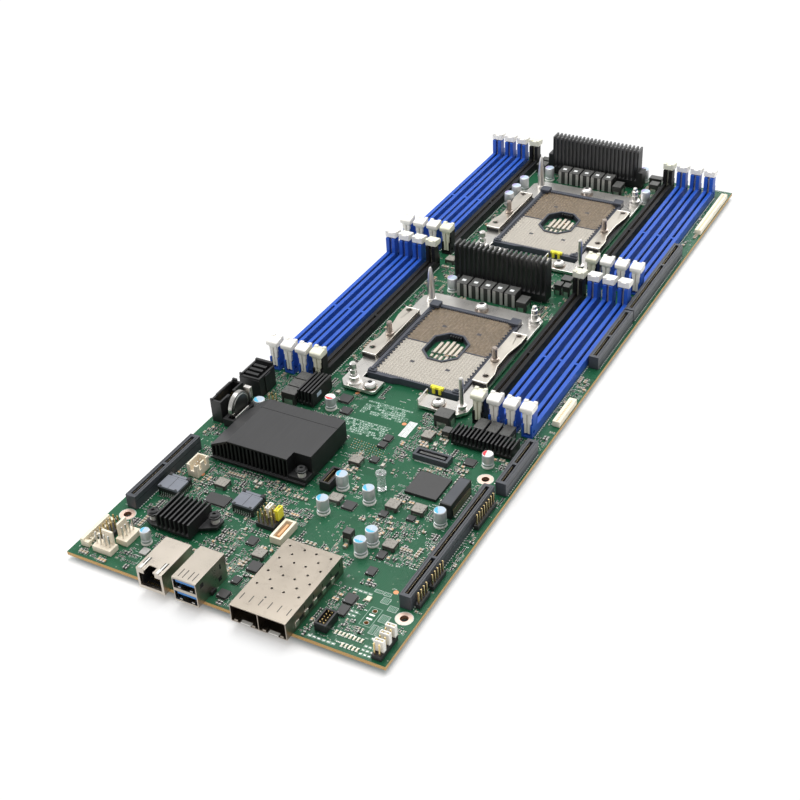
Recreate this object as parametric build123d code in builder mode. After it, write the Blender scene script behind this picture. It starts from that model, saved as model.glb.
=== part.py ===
from build123d import *
import os

os.makedirs("parts", exist_ok=True)

# Half-width two-processor server board. All lengths are in millimetres.
# Positions are given from the board's left edge (x), from its front edge, where the
# ports are (y), and from its upper face (z). The model's own zero is the bottom centre.
board_w = 172.7
board_l = 480.0
board_t = 2.0
port_overhang = 4.8
back_plate_t = 2.2
board_top = back_plate_t + board_t
mid_x = board_w / 2
mid_y = (board_l - port_overhang) / 2

# fits
slide_gap = 0.15
pin_gap = 0.10
seat_gap = 0.30

# mounting holes and the two small peg holes
hole_r = 2.0
mount_holes = [(9.4, 34.7), (166.1, 29.2), (156.0, 133.1)]
peg_hole_r = 1.1
peg_holes = [(152.2, 27.6), (152.2, 19.8)]

# memory sockets
socket_l = 142.0
socket_w = 6.2
ridge_h = 5.6
card_slot_w = 1.5
card_slot_floor = 1.6
key_y = 65.6
key_l = 1.6
tower_l = 6.8
tower_h = 15.5
tower_wall = 1.25
socket_pitch = 9.35
left_bank_x = 6.9
right_bank_x = 132.35
near_bank_y = 173.0
far_bank_y = 329.3

# memory socket latches
latch_w = socket_w - 2 * tower_wall - 2 * slide_gap
latch_pin_r = 0.8
latch_pin_y = 2.4
latch_pin_z = 3.2
latch_face_w = 5.0
latch_ledge_z = 8.0
latch_cap_w = 7.2
latch_cap_z = tower_h + 0.2
latch_cap_h = 4.5

# processor sockets
cpu_x = 86.4
cpu_y = 227.7
cpu_pitch = 162.3
rim_w = 57.2
rim_l = 81.0
rim_h = 4.2
field_w = 54.0
field_l = 76.0
field_h = 3.3
window_w = 20.6
window_l = 27.0
window_corner = 6.2

# bolster plates that carry the processor heat sinks
bolster_z = 1.2
bolster_t = 1.8
bolster_top = bolster_z + bolster_t
leaf_t = 0.8
leaf_top = 6.0

# front ports
cage_wall = 0.45
cage_x = 97.3
cage_w = 29.3
cage_h = 9.6
cage_l = 48.8
jack_x = 46.6
jack_w = 14.5
jack_h = 12.0
jack_l = 23.4
usb_x = 66.8
usb_w = 13.0
usb_h = 14.0
usb_l = 23.2

# coin cell
cell_r = 8.0
cell_t = 3.2
cell_x = 14.8
cell_y = 125.8
cell_z = 8.6

# flash memory sockets with hinged lids
flash_w = 12.2
flash_l = 11.6
flash_h = 4.3
lid_t = 1.1
lid_pin_r = 0.6
flash_places = [(20.0, 60.2), (61.2, 64.6)]


def at(x, y):
    return (x - mid_x, y - mid_y)


def level(z):
    return Plane.XY.offset(board_top + z)


def side(x):
    return Plane.YZ.offset(x - mid_x)


def block(x0, x1, y0, y1, z0, z1, mode=Mode.ADD):
    with BuildSketch(level(z0)) as area:
        with Locations(at((x0 + x1) / 2, (y0 + y1) / 2)):
            Rectangle(x1 - x0, y1 - y0)
    extrude(area.sketch, amount=z1 - z0, mode=mode)


def peg(x, y, r, z0, z1, mode=Mode.ADD):
    with BuildSketch(level(z0)) as area:
        with Locations(at(x, y)):
            Circle(r)
    extrude(area.sketch, amount=z1 - z0, mode=mode)


def outline(points, z0, z1, mode=Mode.ADD):
    with BuildSketch(level(z0)) as area:
        with BuildLine():
            Polyline([at(x, y) for x, y in points], close=True)
        make_face()
    extrude(area.sketch, amount=z1 - z0, mode=mode)


def profile(x0, x1, points, mode=Mode.ADD):
    with BuildSketch(side(x0)) as area:
        with BuildLine():
            Polyline([(y - mid_y, board_top + z) for y, z in points], close=True)
        make_face()
    extrude(area.sketch, amount=x1 - x0, mode=mode)


cpu_rows = [cpu_y, cpu_y + cpu_pitch]

# printed circuit board
with BuildPart() as pcb:
    block(0, board_w, 0, board_l, -board_t, 0)
    for hx, hy in mount_holes:
        peg(hx, hy, hole_r, -board_t, 0, Mode.SUBTRACT)
    for hx, hy in peg_holes:
        peg(hx, hy, peg_hole_r, -board_t, 0, Mode.SUBTRACT)
pcb.part.label = "pcb"
export_step(pcb.part, "parts/pcb.step")

# one memory socket, drawn with its front end at the board's left front corner
with BuildPart() as memory_socket:
    half = socket_w / 2
    block(-half, half, 0, socket_l, 0, ridge_h)
    for end in (0, 1):
        y0 = end * (socket_l - tower_l)
        block(-half, half, y0, y0 + tower_l, 0, tower_h)
    slot_half = card_slot_w / 2
    block(-slot_half, slot_half, 4.0, socket_l - 4.0, card_slot_floor, tower_h, Mode.SUBTRACT)
    block(-slot_half, slot_half, key_y, key_y + key_l, card_slot_floor, ridge_h)
    channel = socket_w / 2 - tower_wall
    for y0, y1, edge0, edge1 in (
        (0, 4.6, 0, 1.2),
        (socket_l - 4.6, socket_l, socket_l - 1.2, socket_l),
    ):
        block(-channel, channel, y0, y1, 1.2, tower_h, Mode.SUBTRACT)
        block(-half, half, edge0, edge1, latch_ledge_z, tower_h, Mode.SUBTRACT)
    for pivot_y in (latch_pin_y, socket_l - latch_pin_y):
        with BuildSketch(side(-half)):
            with Locations((pivot_y - mid_y, board_top + latch_pin_z)):
                Circle(latch_pin_r + pin_gap)
        extrude(amount=socket_w, mode=Mode.SUBTRACT)

# one latch, drawn for the front end of that socket
with BuildPart() as memory_latch:
    half = latch_w / 2
    body_side = [(0.3, 2.2), (0.3, latch_cap_z), (3.9, latch_cap_z), (3.9, 5.2), (4.3, 4.6), (4.3, 2.2)]
    profile(-half, half, body_side)
    half = latch_face_w / 2
    face_low = latch_ledge_z + 0.7
    profile(-half, half, [(0.0, face_low), (0.0, latch_cap_z), (1.05, latch_cap_z), (1.05, face_low)])
    half = latch_cap_w / 2
    cap_top = latch_cap_z + latch_cap_h
    profile(
        -half,
        half,
        [
            (0.0, latch_cap_z),
            (-1.3, latch_cap_z + 0.9),
            (-1.3, latch_cap_z + 2.5),
            (0.7, cap_top),
            (5.4, cap_top),
            (6.2, cap_top - 1.4),
            (6.2, latch_cap_z),
        ],
    )
    block(-slot_half, slot_half, 4.4, 6.2, latch_cap_z, cap_top - 0.9, Mode.SUBTRACT)
    reach = socket_w / 2 - tower_wall + 1.0
    with BuildSketch(side(-reach)):
        with Locations((latch_pin_y - mid_y, board_top + latch_pin_z)):
            Circle(latch_pin_r)
    extrude(amount=2 * reach)

# memory socket places: four banks of four, the black one of each bank beside the processor
blue_places = []
black_places = []
for bank_y in (near_bank_y, far_bank_y):
    for bank_x, black_column in ((left_bank_x, 3), (right_bank_x, 0)):
        for column in range(4):
            place = (bank_x + column * socket_pitch, bank_y)
            if column == black_column:
                black_places.append(place)
            else:
                blue_places.append(place)

with BuildPart() as dimm_sockets_blue:
    with Locations([(x, y, 0) for x, y in blue_places]):
        add(memory_socket.part)
dimm_sockets_blue.part.label = "dimm_sockets_blue"
export_step(dimm_sockets_blue.part, "parts/dimm_sockets_blue.step")

with BuildPart() as dimm_sockets_black:
    with Locations([(x, y, 0) for x, y in black_places]):
        add(memory_socket.part)
dimm_sockets_black.part.label = "dimm_sockets_black"
export_step(dimm_sockets_black.part, "parts/dimm_sockets_black.step")

# thirty-two latches, numbered by socket from the left front
for number, (x, y) in enumerate(sorted(blue_places + black_places, key=lambda p: (p[1], p[0])), start=1):
    with BuildPart() as front_latch:
        with Locations((x, y, 0)):
            add(memory_latch.part)
    front_latch.part.label = f"latch_{number:02d}_front"
    export_step(front_latch.part, f"parts/latch_{number:02d}_front.step")
    with BuildPart() as rear_latch:
        turned = Location((x - 2 * mid_x, y + socket_l - 2 * mid_y, 0), (0, 0, 180))
        with Locations(turned):
            add(memory_latch.part)
    rear_latch.part.label = f"latch_{number:02d}_rear"
    export_step(rear_latch.part, f"parts/latch_{number:02d}_rear.step")

# processor sockets: moulded rims with a raised corner block at each rear corner
with BuildPart() as socket_rims:
    for cy in cpu_rows:
        x0 = cpu_x - rim_w / 2
        x1 = cpu_x + rim_w / 2
        y0 = cy - rim_l / 2
        y1 = cy + rim_l / 2
        block(x0, x1, y0, y1, 0, rim_h)
        block(x0, x0 + 6.0, y1 - 6.0, y1, rim_h, rim_h + 2.0)
        block(x1 - 6.0, x1, y1 - 6.0, y1, rim_h, rim_h + 2.0)
        block(
            cpu_x - field_w / 2,
            cpu_x + field_w / 2,
            cy - field_l / 2,
            cy + field_l / 2,
            0,
            rim_h,
            Mode.SUBTRACT,
        )
        outline(
            [
                (cpu_x - 13.0, y0),
                (cpu_x - 9.0, y0 + 1.4),
                (cpu_x + 9.0, y0 + 1.4),
                (cpu_x + 13.0, y0),
            ],
            0,
            rim_h,
            Mode.SUBTRACT,
        )
socket_rims.part.label = "socket_rims"
export_step(socket_rims.part, "parts/socket_rims.step")


# processor sockets: contact fields, one half in front and one half behind
def contact_half(cy, sign):
    gap = 0.4
    x0 = cpu_x - field_w / 2 + 0.3
    x1 = cpu_x + field_w / 2 - 0.3
    near = cy + sign * gap / 2
    far = cy + sign * (field_l / 2 - 0.3)
    block(x0, x1, min(near, far), max(near, far), 0, field_h)
    wx = window_w / 2
    wy = window_l / 2
    outline(
        [
            (cpu_x - wx, cy),
            (cpu_x - wx, cy + sign * (wy - window_corner)),
            (cpu_x - wx + window_corner, cy + sign * wy),
            (cpu_x + wx - window_corner, cy + sign * wy),
            (cpu_x + wx, cy + sign * (wy - window_corner)),
            (cpu_x + wx, cy),
        ],
        0,
        field_h,
        Mode.SUBTRACT,
    )


with BuildPart() as contact_fields:
    for cy in cpu_rows:
        contact_half(cy, -1)
        contact_half(cy, 1)
contact_fields.part.label = "contact_fields"
export_step(contact_fields.part, "parts/contact_fields.step")

# bolster plates: a rear bar, two side rails and two front tabs in one stamping
rail_in = rim_w / 2 + 0.3
rail_out_left = 38.6
rail_out_right = 38.2
tab_front = 55.4
bar_rear = 52.4
with BuildPart() as bolster_plates:
    for cy in cpu_rows:
        x0 = cpu_x - rail_out_left
        x1 = cpu_x + rail_out_right
        outline(
            [
                (x0, cy - tab_front + 5.0),
                (x0 + 4.0, cy - tab_front),
                (cpu_x - 17.0, cy - tab_front),
                (cpu_x - 15.6, cy - tab_front + 1.4),
                (cpu_x - 15.6, cy - rim_l / 2 - 3.6),
                (cpu_x - rail_in, cy - rim_l / 2 - 3.6),
                (cpu_x - rail_in, cy + rim_l / 2 + 0.4),
                (cpu_x + rail_in, cy + rim_l / 2 + 0.4),
                (cpu_x + rail_in, cy - rim_l / 2 - 3.6),
                (cpu_x + 10.7, cy - rim_l / 2 - 3.6),
                (cpu_x + 10.7, cy - tab_front),
                (x1 - 4.0, cy - tab_front),
                (x1, cy - tab_front + 5.0),
                (x1, cy + bar_rear - 4.0),
                (x1 - 4.0, cy + bar_rear),
                (x0 + 6.0, cy + bar_rear),
                (x0, cy + bar_rear - 6.0),
            ],
            bolster_z,
            bolster_top,
        )
        flange_rear = cy - rim_l / 2 - 3.6
        block(cpu_x + 10.7, cpu_x + 11.5, cy - tab_front, flange_rear, bolster_z, bolster_top + 3.4)
bolster_plates.part.label = "bolster_plates"
export_step(bolster_plates.part, "parts/bolster_plates.step")

# leaf springs: waisted strips over the side rails, bent down on to them at both ends
leaf_front = 26.2
leaf_rear = 27.1
leaf_hole_r = 1.5
with BuildPart() as leaf_springs:
    for cy in cpu_rows:
        for outer, inner in ((cpu_x - 39.8, cpu_x - 30.7), (cpu_x + 37.9, cpu_x + 28.9)):
            inward = 1 if inner > outer else -1
            waist = outer + inward * 1.9
            outline(
                [
                    (outer, cy - leaf_front),
                    (outer, cy - 16.0),
                    (waist, cy - 9.0),
                    (waist, cy + 6.0),
                    (outer, cy + 17.0),
                    (outer, cy + leaf_rear),
                    (inner, cy + leaf_rear),
                    (inner, cy - leaf_front),
                ],
                leaf_top - leaf_t,
                leaf_top,
            )
            low = min(outer, inner)
            high = max(outer, inner)
            block(low, high, cy - leaf_front, cy - leaf_front + leaf_t, bolster_top, leaf_top)
            block(low, high, cy + leaf_rear - leaf_t, cy + leaf_rear, bolster_top, leaf_top)
            hole_x = outer + inward * 3.6
            for hole_y in (cy - 19.9, cy + 23.9):
                peg(hole_x, hole_y, leaf_hole_r, leaf_top - leaf_t, leaf_top, Mode.SUBTRACT)
            stud_x = inner - inward * 3.2
            peg(stud_x, cy - 3.7, 2.1, leaf_top - leaf_t, leaf_top, Mode.SUBTRACT)
leaf_springs.part.label = "leaf_springs"
export_step(leaf_springs.part, "parts/leaf_springs.step")

# guide posts at the four corners of each bolster plate, and the studs that rise
# through its leaf springs
with BuildPart() as guide_posts:
    for cy in cpu_rows:
        for stud_x in (cpu_x - 33.9, cpu_x + 32.1):
            peg(stud_x, cy - 3.7, 1.75, bolster_top, 14.4)
            peg(stud_x, cy - 3.7, 2.6, leaf_top + 0.3, leaf_top + 1.8)
        peg(cpu_x - 32.2, cy + 44.4, 3.0, bolster_top, bolster_top + 1.2)
        with BuildSketch(level(bolster_top + 1.2)):
            with Locations(at(cpu_x - 32.2, cy + 44.4)):
                Circle(2.3)
        extrude(amount=20.8, taper=2.2)
        peg(cpu_x + 34.4, cy + 44.6, 3.6, bolster_top, bolster_top + 3.0)
        peg(cpu_x + 34.4, cy + 44.6, 2.0, bolster_top + 3.0, 12.4)
        peg(cpu_x + 34.4, cy + 44.6, 1.4, 12.4, 14.7)
        peg(cpu_x - 30.5, cy - 50.7, 4.4, bolster_top, bolster_top + 1.2)
        peg(cpu_x - 30.5, cy - 50.7, 2.9, bolster_top + 1.2, bolster_top + 4.2)
        peg(cpu_x - 30.5, cy - 50.7, 2.0, bolster_top + 4.2, 16.0)
        peg(cpu_x + 34.4, cy - 49.7, 2.8, bolster_top, bolster_top + 3.4)
        peg(cpu_x + 34.4, cy - 49.7, 1.25, bolster_top + 3.4, 23.4)
guide_posts.part.label = "guide_posts"
export_step(guide_posts.part, "parts/guide_posts.step")

# back plates under the board, one per processor
with BuildPart() as back_plates:
    for cy in cpu_rows:
        block(cpu_x - 38.0, cpu_x + 38.0, cy - 54.0, cy + 52.0, -board_t - back_plate_t, -board_t)
        block(
            cpu_x - 20.0,
            cpu_x + 20.0,
            cy - 30.0,
            cy + 30.0,
            -board_t - back_plate_t,
            -board_t,
            Mode.SUBTRACT,
        )
back_plates.part.label = "back_plates"
export_step(back_plates.part, "parts/back_plates.step")

# chip heat sinks. Chipset: flat top with a sloping left flank, front-to-back fins below it.
# Network chip: eight plate fins on a base with two pinned ears.
sink_x0 = 21.7
sink_x1 = 78.0
sink_y0 = 90.0
sink_y1 = 131.0
sink_top = 14.0
nic_x0 = 30.5
nic_x1 = 49.8
nic_y0 = 31.0
nic_y1 = 50.0
with BuildPart() as chip_heatsinks:
    with BuildSketch(Plane.XZ.offset(mid_y - sink_y0)):
        with BuildLine():
            Polyline(
                [
                    (sink_x0 - mid_x, board_top + 1.6),
                    (sink_x0 - mid_x, board_top + 9.0),
                    (sink_x0 + 10.4 - mid_x, board_top + sink_top),
                    (sink_x1 - mid_x, board_top + sink_top),
                    (sink_x1 - mid_x, board_top + 1.6),
                ],
                close=True,
            )
        make_face()
    extrude(amount=sink_y0 - sink_y1)
    block(68.0, sink_x1, sink_y0, 96.8, 4.2, sink_top, Mode.SUBTRACT)
    outline([(sink_x0, 121.0), (sink_x0, sink_y1), (29.8, sink_y1)], 1.6, sink_top, Mode.SUBTRACT)
    fin_pitch = 2.4
    for fin in range(19):
        gap_x = sink_x0 + 1.1 + fin * fin_pitch
        gap_top = min(sink_top - 1.0, 8.4 + 0.48 * fin * fin_pitch)
        block(gap_x, gap_x + 1.3, sink_y0, sink_y0 + 14.0, 2.4, gap_top, Mode.SUBTRACT)
    block(sink_x0, sink_x1, 122.4, 123.0, sink_top - 0.4, sink_top, Mode.SUBTRACT)
    block(sink_x0, sink_x1, sink_y0 - 1.2, sink_y0, 1.0, 2.2)
    block(sink_x0, sink_x1, sink_y0, sink_y1 - 12.0, 1.0, 1.6)
    peg(74.4, 92.6, 1.7 + slide_gap, 0, 4.2, Mode.SUBTRACT)
    block(38.0, 62.0, 98.0, 122.0, 0.2, 1.0)
    outline(
        [
            (nic_x0, nic_y0),
            (nic_x1, nic_y0),
            (nic_x1, 38.0),
            (57.6, 42.4),
            (57.6, 48.4),
            (53.0, nic_y1),
            (nic_x0, nic_y1),
            (nic_x0, 43.0),
            (22.6, 38.2),
            (22.6, 33.0),
            (27.0, nic_y0),
        ],
        1.4,
        2.9,
    )
    for fin in range(8):
        fin_x = nic_x0 + fin * (nic_x1 - nic_x0 - 0.9) / 7
        block(fin_x, fin_x + 0.9, nic_y0, nic_y1, 2.9, 10.0)
    for pin_x, pin_y in ((54.4, 45.6), (25.6, 35.4)):
        peg(pin_x, pin_y, 1.7 + slide_gap, 1.4, 2.9, Mode.SUBTRACT)
    block(33.0, 47.0, 34.0, 48.0, 0.2, 1.4)
chip_heatsinks.part.label = "chip_heatsinks"
export_step(chip_heatsinks.part, "parts/chip_heatsinks.step")


# voltage regulator heat sinks: bases with rows of plate fins
def finned(x0, x1, y0, y1, base_z, base_t, height, count, thick):
    block(x0, x1, y0, y1, base_z, base_z + base_t)
    step = (x1 - x0 - thick) / (count - 1)
    for fin in range(count):
        fin_x = x0 + fin * step
        block(fin_x, fin_x + thick, y0, y1, base_z + base_t, height)


with BuildPart() as regulator_heatsinks:
    finned(57.0, 117.0, 298.0, 305.6, 1.6, 4.4, 28.0, 20, 1.1)
    finned(51.5, 113.0, 460.4, 468.4, 1.6, 4.4, 28.0, 23, 1.1)
    block(48.4, 51.5, 460.4, 468.4, 1.6, 15.0)
    block(113.0, 116.0, 460.4, 468.4, 1.6, 12.4)
    finned(127.6, 162.0, 151.6, 161.3, 1.0, 1.6, 7.6, 16, 0.9)
    finned(36.6, 46.2, 149.4, 169.4, 1.0, 1.6, 9.6, 5, 1.0)
regulator_heatsinks.part.label = "regulator_heatsinks"
export_step(regulator_heatsinks.part, "parts/regulator_heatsinks.step")

# fasteners: round-headed screws of the bolster plates, push pins of the chip heat sinks,
# and the standoff that holds the far end of a small module
with BuildPart() as fasteners:
    for cy in cpu_rows:
        for sx, sy, spacer in ((0.8, 44.9, 2.4), (-20.2, -51.3, 1.0), (21.2, -50.6, 1.0)):
            peg(cpu_x + sx, cy + sy, 2.0, bolster_top, bolster_top + spacer)
            peg(cpu_x + sx, cy + sy, 2.9, bolster_top + spacer, bolster_top + spacer + 2.4)
            with BuildSketch(level(bolster_top + spacer + 1.2)):
                with Locations(at(cpu_x + sx, cy + sy)):
                    RegularPolygon(1.3, 6)
            extrude(amount=1.2, mode=Mode.SUBTRACT)
    for pin_x, pin_y, seat in ((74.4, 92.6, 4.2), (54.4, 45.6, 2.9), (25.6, 35.4, 2.9)):
        peg(pin_x, pin_y, 1.7, 0, seat)
        peg(pin_x, pin_y, 2.2, seat, seat + 2.6)
        peg(pin_x, pin_y, 3.1, seat + 2.6, seat + 5.2)
    peg(112.8, 105.0, 1.8, 0, 8.8)
    peg(112.8, 105.0, 2.5, 8.8, 10.4)
fasteners.part.label = "fasteners"
export_step(fasteners.part, "parts/fasteners.step")

# chokes: tall ones behind each processor, then the low ones
tall_choke = (6.9, 9.4, 9.2)
low_chokes = [
    (103.6, 109.6, 284.4, 293.2, 6.6),
    (100.4, 106.4, 446.4, 455.2, 6.6),
    (27.2, 35.9, 147.6, 154.4, 7.0),
    (27.2, 35.9, 155.1, 161.9, 7.0),
    (27.2, 35.9, 162.6, 169.4, 7.0),
    (135.2, 141.2, 161.9, 171.2, 6.8),
    (142.4, 148.4, 161.9, 171.2, 6.8),
    (149.6, 155.6, 161.9, 171.2, 6.8),
    (112.0, 121.0, 162.6, 170.8, 7.2),
    (120.6, 125.2, 154.6, 159.6, 4.8),
    (111.7, 117.6, 148.4, 154.4, 3.0),
    (122.0, 128.4, 91.0, 97.6, 3.0),
    (135.0, 141.4, 93.3, 99.8, 3.0),
    (134.9, 141.1, 65.0, 70.8, 3.0),
    (94.0, 100.4, 84.0, 89.8, 3.0),
    (87.9, 94.3, 114.6, 120.6, 3.0),
    (115.8, 120.2, 61.8, 66.2, 6.6),
    (82.6, 88.6, 33.6, 39.6, 2.6),
    (36.2, 42.8, 70.2, 76.2, 2.8),
    (116.2, 122.6, 321.6, 327.6, 5.0),
    (116.2, 120.6, 311.4, 316.6, 6.8),
    (121.6, 126.0, 311.4, 316.6, 6.8),
    (39.6, 45.6, 318.4, 324.6, 3.2),
    (118.2, 126.6, 469.0, 474.0, 6.0),
    (121.4, 127.4, 459.8, 465.8, 6.0),
    (39.8, 46.6, 467.6, 472.8, 6.0),
    (39.8, 46.6, 459.0, 466.0, 6.0),
]
with BuildPart() as chokes:
    for first_x, front_y in ((63.6, 286.8), (60.5, 449.0)):
        for number in range(5):
            x0 = first_x + number * 7.85
            block(x0, x0 + tall_choke[0], front_y, front_y + tall_choke[1], 0, tall_choke[2])
    for x0, x1, y0, y1, height in low_chokes:
        block(x0, x1, y0, y1, 0, height)
chokes.part.label = "chokes"
export_step(chokes.part, "parts/chokes.step")

# can capacitors on square plastic feet
can_r = 3.15
can_h = 9.3
foot_w = 6.9
foot_t = 1.1
can_places = [
    (127.6, 58.3),
    (128.9, 66.9),
    (96.0, 77.0),
    (95.0, 97.2),
    (112.4, 93.2),
    (151.6, 92.6),
    (152.4, 143.6),
    (54.6, 153.8),
    (31.0, 21.6),
    (22.4, 134.0),
    (59.0, 290.6),
    (53.0, 451.6),
    (43.2, 431.2),
    (43.2, 418.2),
    (43.2, 406.6),
    (125.0, 443.4),
    (113.0, 474.2),
]
with BuildPart() as capacitor_cans:
    for can_x, can_y in can_places:
        peg(can_x, can_y, can_r, 0, can_h)
    for can_x, can_y in can_places:
        half = foot_w / 2
        block(can_x - half, can_x + half, can_y - half, can_y + half, 0, foot_t)
capacitor_cans.part.label = "capacitor_cans"
export_step(capacitor_cans.part, "parts/capacitor_cans.step")

# card slots: moulded riser bars with a card slot and a key, and the small module,
# mezzanine and cable sockets beside them
slot_w = 5.8
slot_h = 7.8
riser_places = [
    (8.6, 39.5, 94.8, 68.3),
    (163.7, 34.7, 121.7, 63.3),
    (168.2, 124.7, 163.7, 141.8),
    (167.5, 246.4, 299.8, 270.3),
    (167.5, 301.0, 386.0, 357.6),
]
with BuildPart() as card_slots:
    for slot_x, y0, y1, key in riser_places:
        block(slot_x - slot_w / 2, slot_x + slot_w / 2, y0, y1, 0, slot_h)
        block(slot_x - 1.0, slot_x + 1.0, y0 + 2.0, key - 0.8, 1.4, slot_h, Mode.SUBTRACT)
        block(slot_x - 1.0, slot_x + 1.0, key + 0.8, y1 - 2.0, 1.4, slot_h, Mode.SUBTRACT)
    block(148.6, 154.6, 98.2, 120.4, 0, 8.4)
    block(148.6, 150.4, 99.4, 119.2, 5.0, 6.6, Mode.SUBTRACT)
    block(115.0, 134.8, 132.9, 139.6, 0, 3.2)
    block(116.6, 133.2, 134.2, 138.3, 1.2, 3.2, Mode.SUBTRACT)
    block(117.6, 132.2, 135.6, 136.9, 1.2, 2.9)
    block(85.0, 91.0, 91.4, 105.2, 0, 5.2)
    block(86.4, 89.6, 92.6, 104.0, 1.4, 5.2, Mode.SUBTRACT)
    block(133.8, 140.0, 6.0, 16.6, 0, 4.6)
    block(134.8, 139.0, 7.0, 15.6, 1.2, 4.6, Mode.SUBTRACT)
card_slots.part.label = "card_slots"
export_step(card_slots.part, "parts/card_slots.step")

# power connectors at the left edge: a long open shroud and a square one with three blades
with BuildPart() as power_connectors:
    block(2.6, 9.4, 117.6, 139.0, 0, 13.4)
    block(3.8, 8.2, 119.0, 137.6, 3.0, 13.4, Mode.SUBTRACT)
    block(8.2, 9.4, 126.4, 130.2, 9.0, 13.4, Mode.SUBTRACT)
    block(2.4, 15.2, 145.6, 161.0, 0, 12.4)
    block(3.6, 14.0, 146.8, 159.8, 3.0, 12.4, Mode.SUBTRACT)
    for blade in range(3):
        y0 = 148.0 + blade * 3.9
        block(4.8, 12.8, y0, y0 + 2.2, 3.0, 11.6)
power_connectors.part.label = "power_connectors"
export_step(power_connectors.part, "parts/power_connectors.step")

# upright coin cell and its holder
with BuildPart() as battery_holder:
    half = cell_t / 2 + slide_gap
    end = cell_r + seat_gap
    block(cell_x - 3.9, cell_x + 3.7, cell_y - end - 1.6, cell_y + end + 1.6, 0, 5.0)
    block(cell_x - half, cell_x + half, cell_y - end, cell_y + end, 0.3, 5.0, Mode.SUBTRACT)
    block(cell_x - 1.9, cell_x + 1.9, cell_y + end + 0.2, cell_y + end + 1.4, 5.0, 14.0)
battery_holder.part.label = "battery_holder"
export_step(battery_holder.part, "parts/battery_holder.step")

with BuildPart() as coin_cell:
    with BuildSketch(side(cell_x - cell_t / 2)):
        with Locations((cell_y - mid_y, board_top + cell_z)):
            Circle(cell_r)
    extrude(amount=cell_t)
coin_cell.part.label = "coin_cell"
export_step(coin_cell.part, "parts/coin_cell.step")

# network jack: folded shell with a stepped plug opening
with BuildPart() as network_jack:
    x1 = jack_x + jack_w
    y0 = -port_overhang
    block(jack_x, x1, y0, y0 + jack_l, 0, jack_h)
    centre = (jack_x + x1) / 2
    block(centre - 5.95, centre + 5.95, y0, y0 + 15.0, 1.8, 9.2, Mode.SUBTRACT)
    block(centre - 3.0, centre + 3.0, y0, y0 + 11.0, 9.2, jack_h - 0.6, Mode.SUBTRACT)
    block(centre - 2.2, centre + 2.2, y0, y0 + 4.0, jack_h - 0.6, jack_h, Mode.SUBTRACT)
network_jack.part.label = "network_jack"
export_step(network_jack.part, "parts/network_jack.step")

# double-decker USB receptacle with a tongue in each port
with BuildPart() as usb_stack:
    x1 = usb_x + usb_w
    y0 = -port_overhang
    block(usb_x, x1, y0, y0 + usb_l, 0, usb_h)
    for port_z in (0.9, 7.9):
        block(usb_x + 0.5, x1 - 0.5, y0, y0 + 12.5, port_z, port_z + 5.2, Mode.SUBTRACT)
        block(usb_x + 1.1, x1 - 1.1, y0 + 1.2, y0 + 12.5, port_z + 2.7, port_z + 4.5)
usb_stack.part.label = "usb_stack"
export_step(usb_stack.part, "parts/usb_stack.step")

# two-bay pluggable module cage: folded sheet with vent holes and a centre wall
with BuildPart() as module_cage:
    x1 = cage_x + cage_w
    y0 = -port_overhang
    y1 = y0 + cage_l
    middle = (cage_x + x1) / 2
    block(cage_x, x1, y0, y1, 0, cage_h)
    for bay0, bay1 in (
        (cage_x + cage_wall, middle - cage_wall / 2),
        (middle + cage_wall / 2, x1 - cage_wall),
    ):
        block(bay0, bay1, y0, y1 - cage_wall, cage_wall, cage_h - cage_wall, Mode.SUBTRACT)
        bay = (bay0 + bay1) / 2
        block(bay - 2.8, bay + 2.8, y0, y0 + 2.2, 0, cage_wall, Mode.SUBTRACT)
    for row in range(4):
        for vent_x in (101.0, 108.9, 115.1, 122.9):
            peg(vent_x, 12.2 + row * 9.3, 0.6, cage_h - cage_wall, cage_h, Mode.SUBTRACT)
    for row in range(3):
        for vent_x in (105.0, 119.0):
            peg(vent_x, 16.8 + row * 9.3, 0.6, cage_h - cage_wall, cage_h, Mode.SUBTRACT)
module_cage.part.label = "module_cage"
export_step(module_cage.part, "parts/module_cage.step")

# cream wire-to-board headers
with BuildPart() as wire_headers:
    block(3.4, 5.4, 6.6, 26.8, 0, 4.4)
    block(5.4, 7.2, 6.6, 26.8, 0, 1.8)
    for end_y in (6.6, 25.0):
        block(5.4, 8.2, end_y, end_y + 1.8, 0, 3.2)
    block(11.0, 21.8, 5.8, 11.8, 0, 3.2)
    block(14.2, 20.4, 10.6, 11.8, 3.2, 10.4)
    for pin in range(4):
        block(11.9 + pin * 2.54, 12.5 + pin * 2.54, 8.2, 8.8, 3.2, 10.0)
    block(18.0, 24.6, 14.8, 25.6, 0, 3.2)
    block(18.0, 19.2, 17.0, 23.4, 3.2, 10.4)
    for pin in range(4):
        block(21.4, 22.0, 16.2 + pin * 2.54, 16.8 + pin * 2.54, 3.2, 10.0)
    block(18.4, 24.8, 72.8, 83.0, 0, 7.4)
    block(19.2, 24.0, 73.6, 82.2, 2.0, 7.4, Mode.SUBTRACT)
    block(20.4, 22.8, 72.8, 73.6, 3.6, 7.4, Mode.SUBTRACT)
    for notch_y in (74.8, 79.4):
        block(24.0, 24.8, notch_y, notch_y + 1.6, 3.6, 7.4, Mode.SUBTRACT)
    block(84.4, 90.8, 46.8, 61.4, 0, 4.0)
    block(85.8, 89.4, 48.0, 60.2, 1.0, 4.0, Mode.SUBTRACT)
    block(168.2, 172.3, 188.0, 211.4, 0, 3.4)
    block(168.2, 172.3, 415.6, 470.6, 0, 3.4)
wire_headers.part.label = "wire_headers"
export_step(wire_headers.part, "parts/wire_headers.step")

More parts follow.
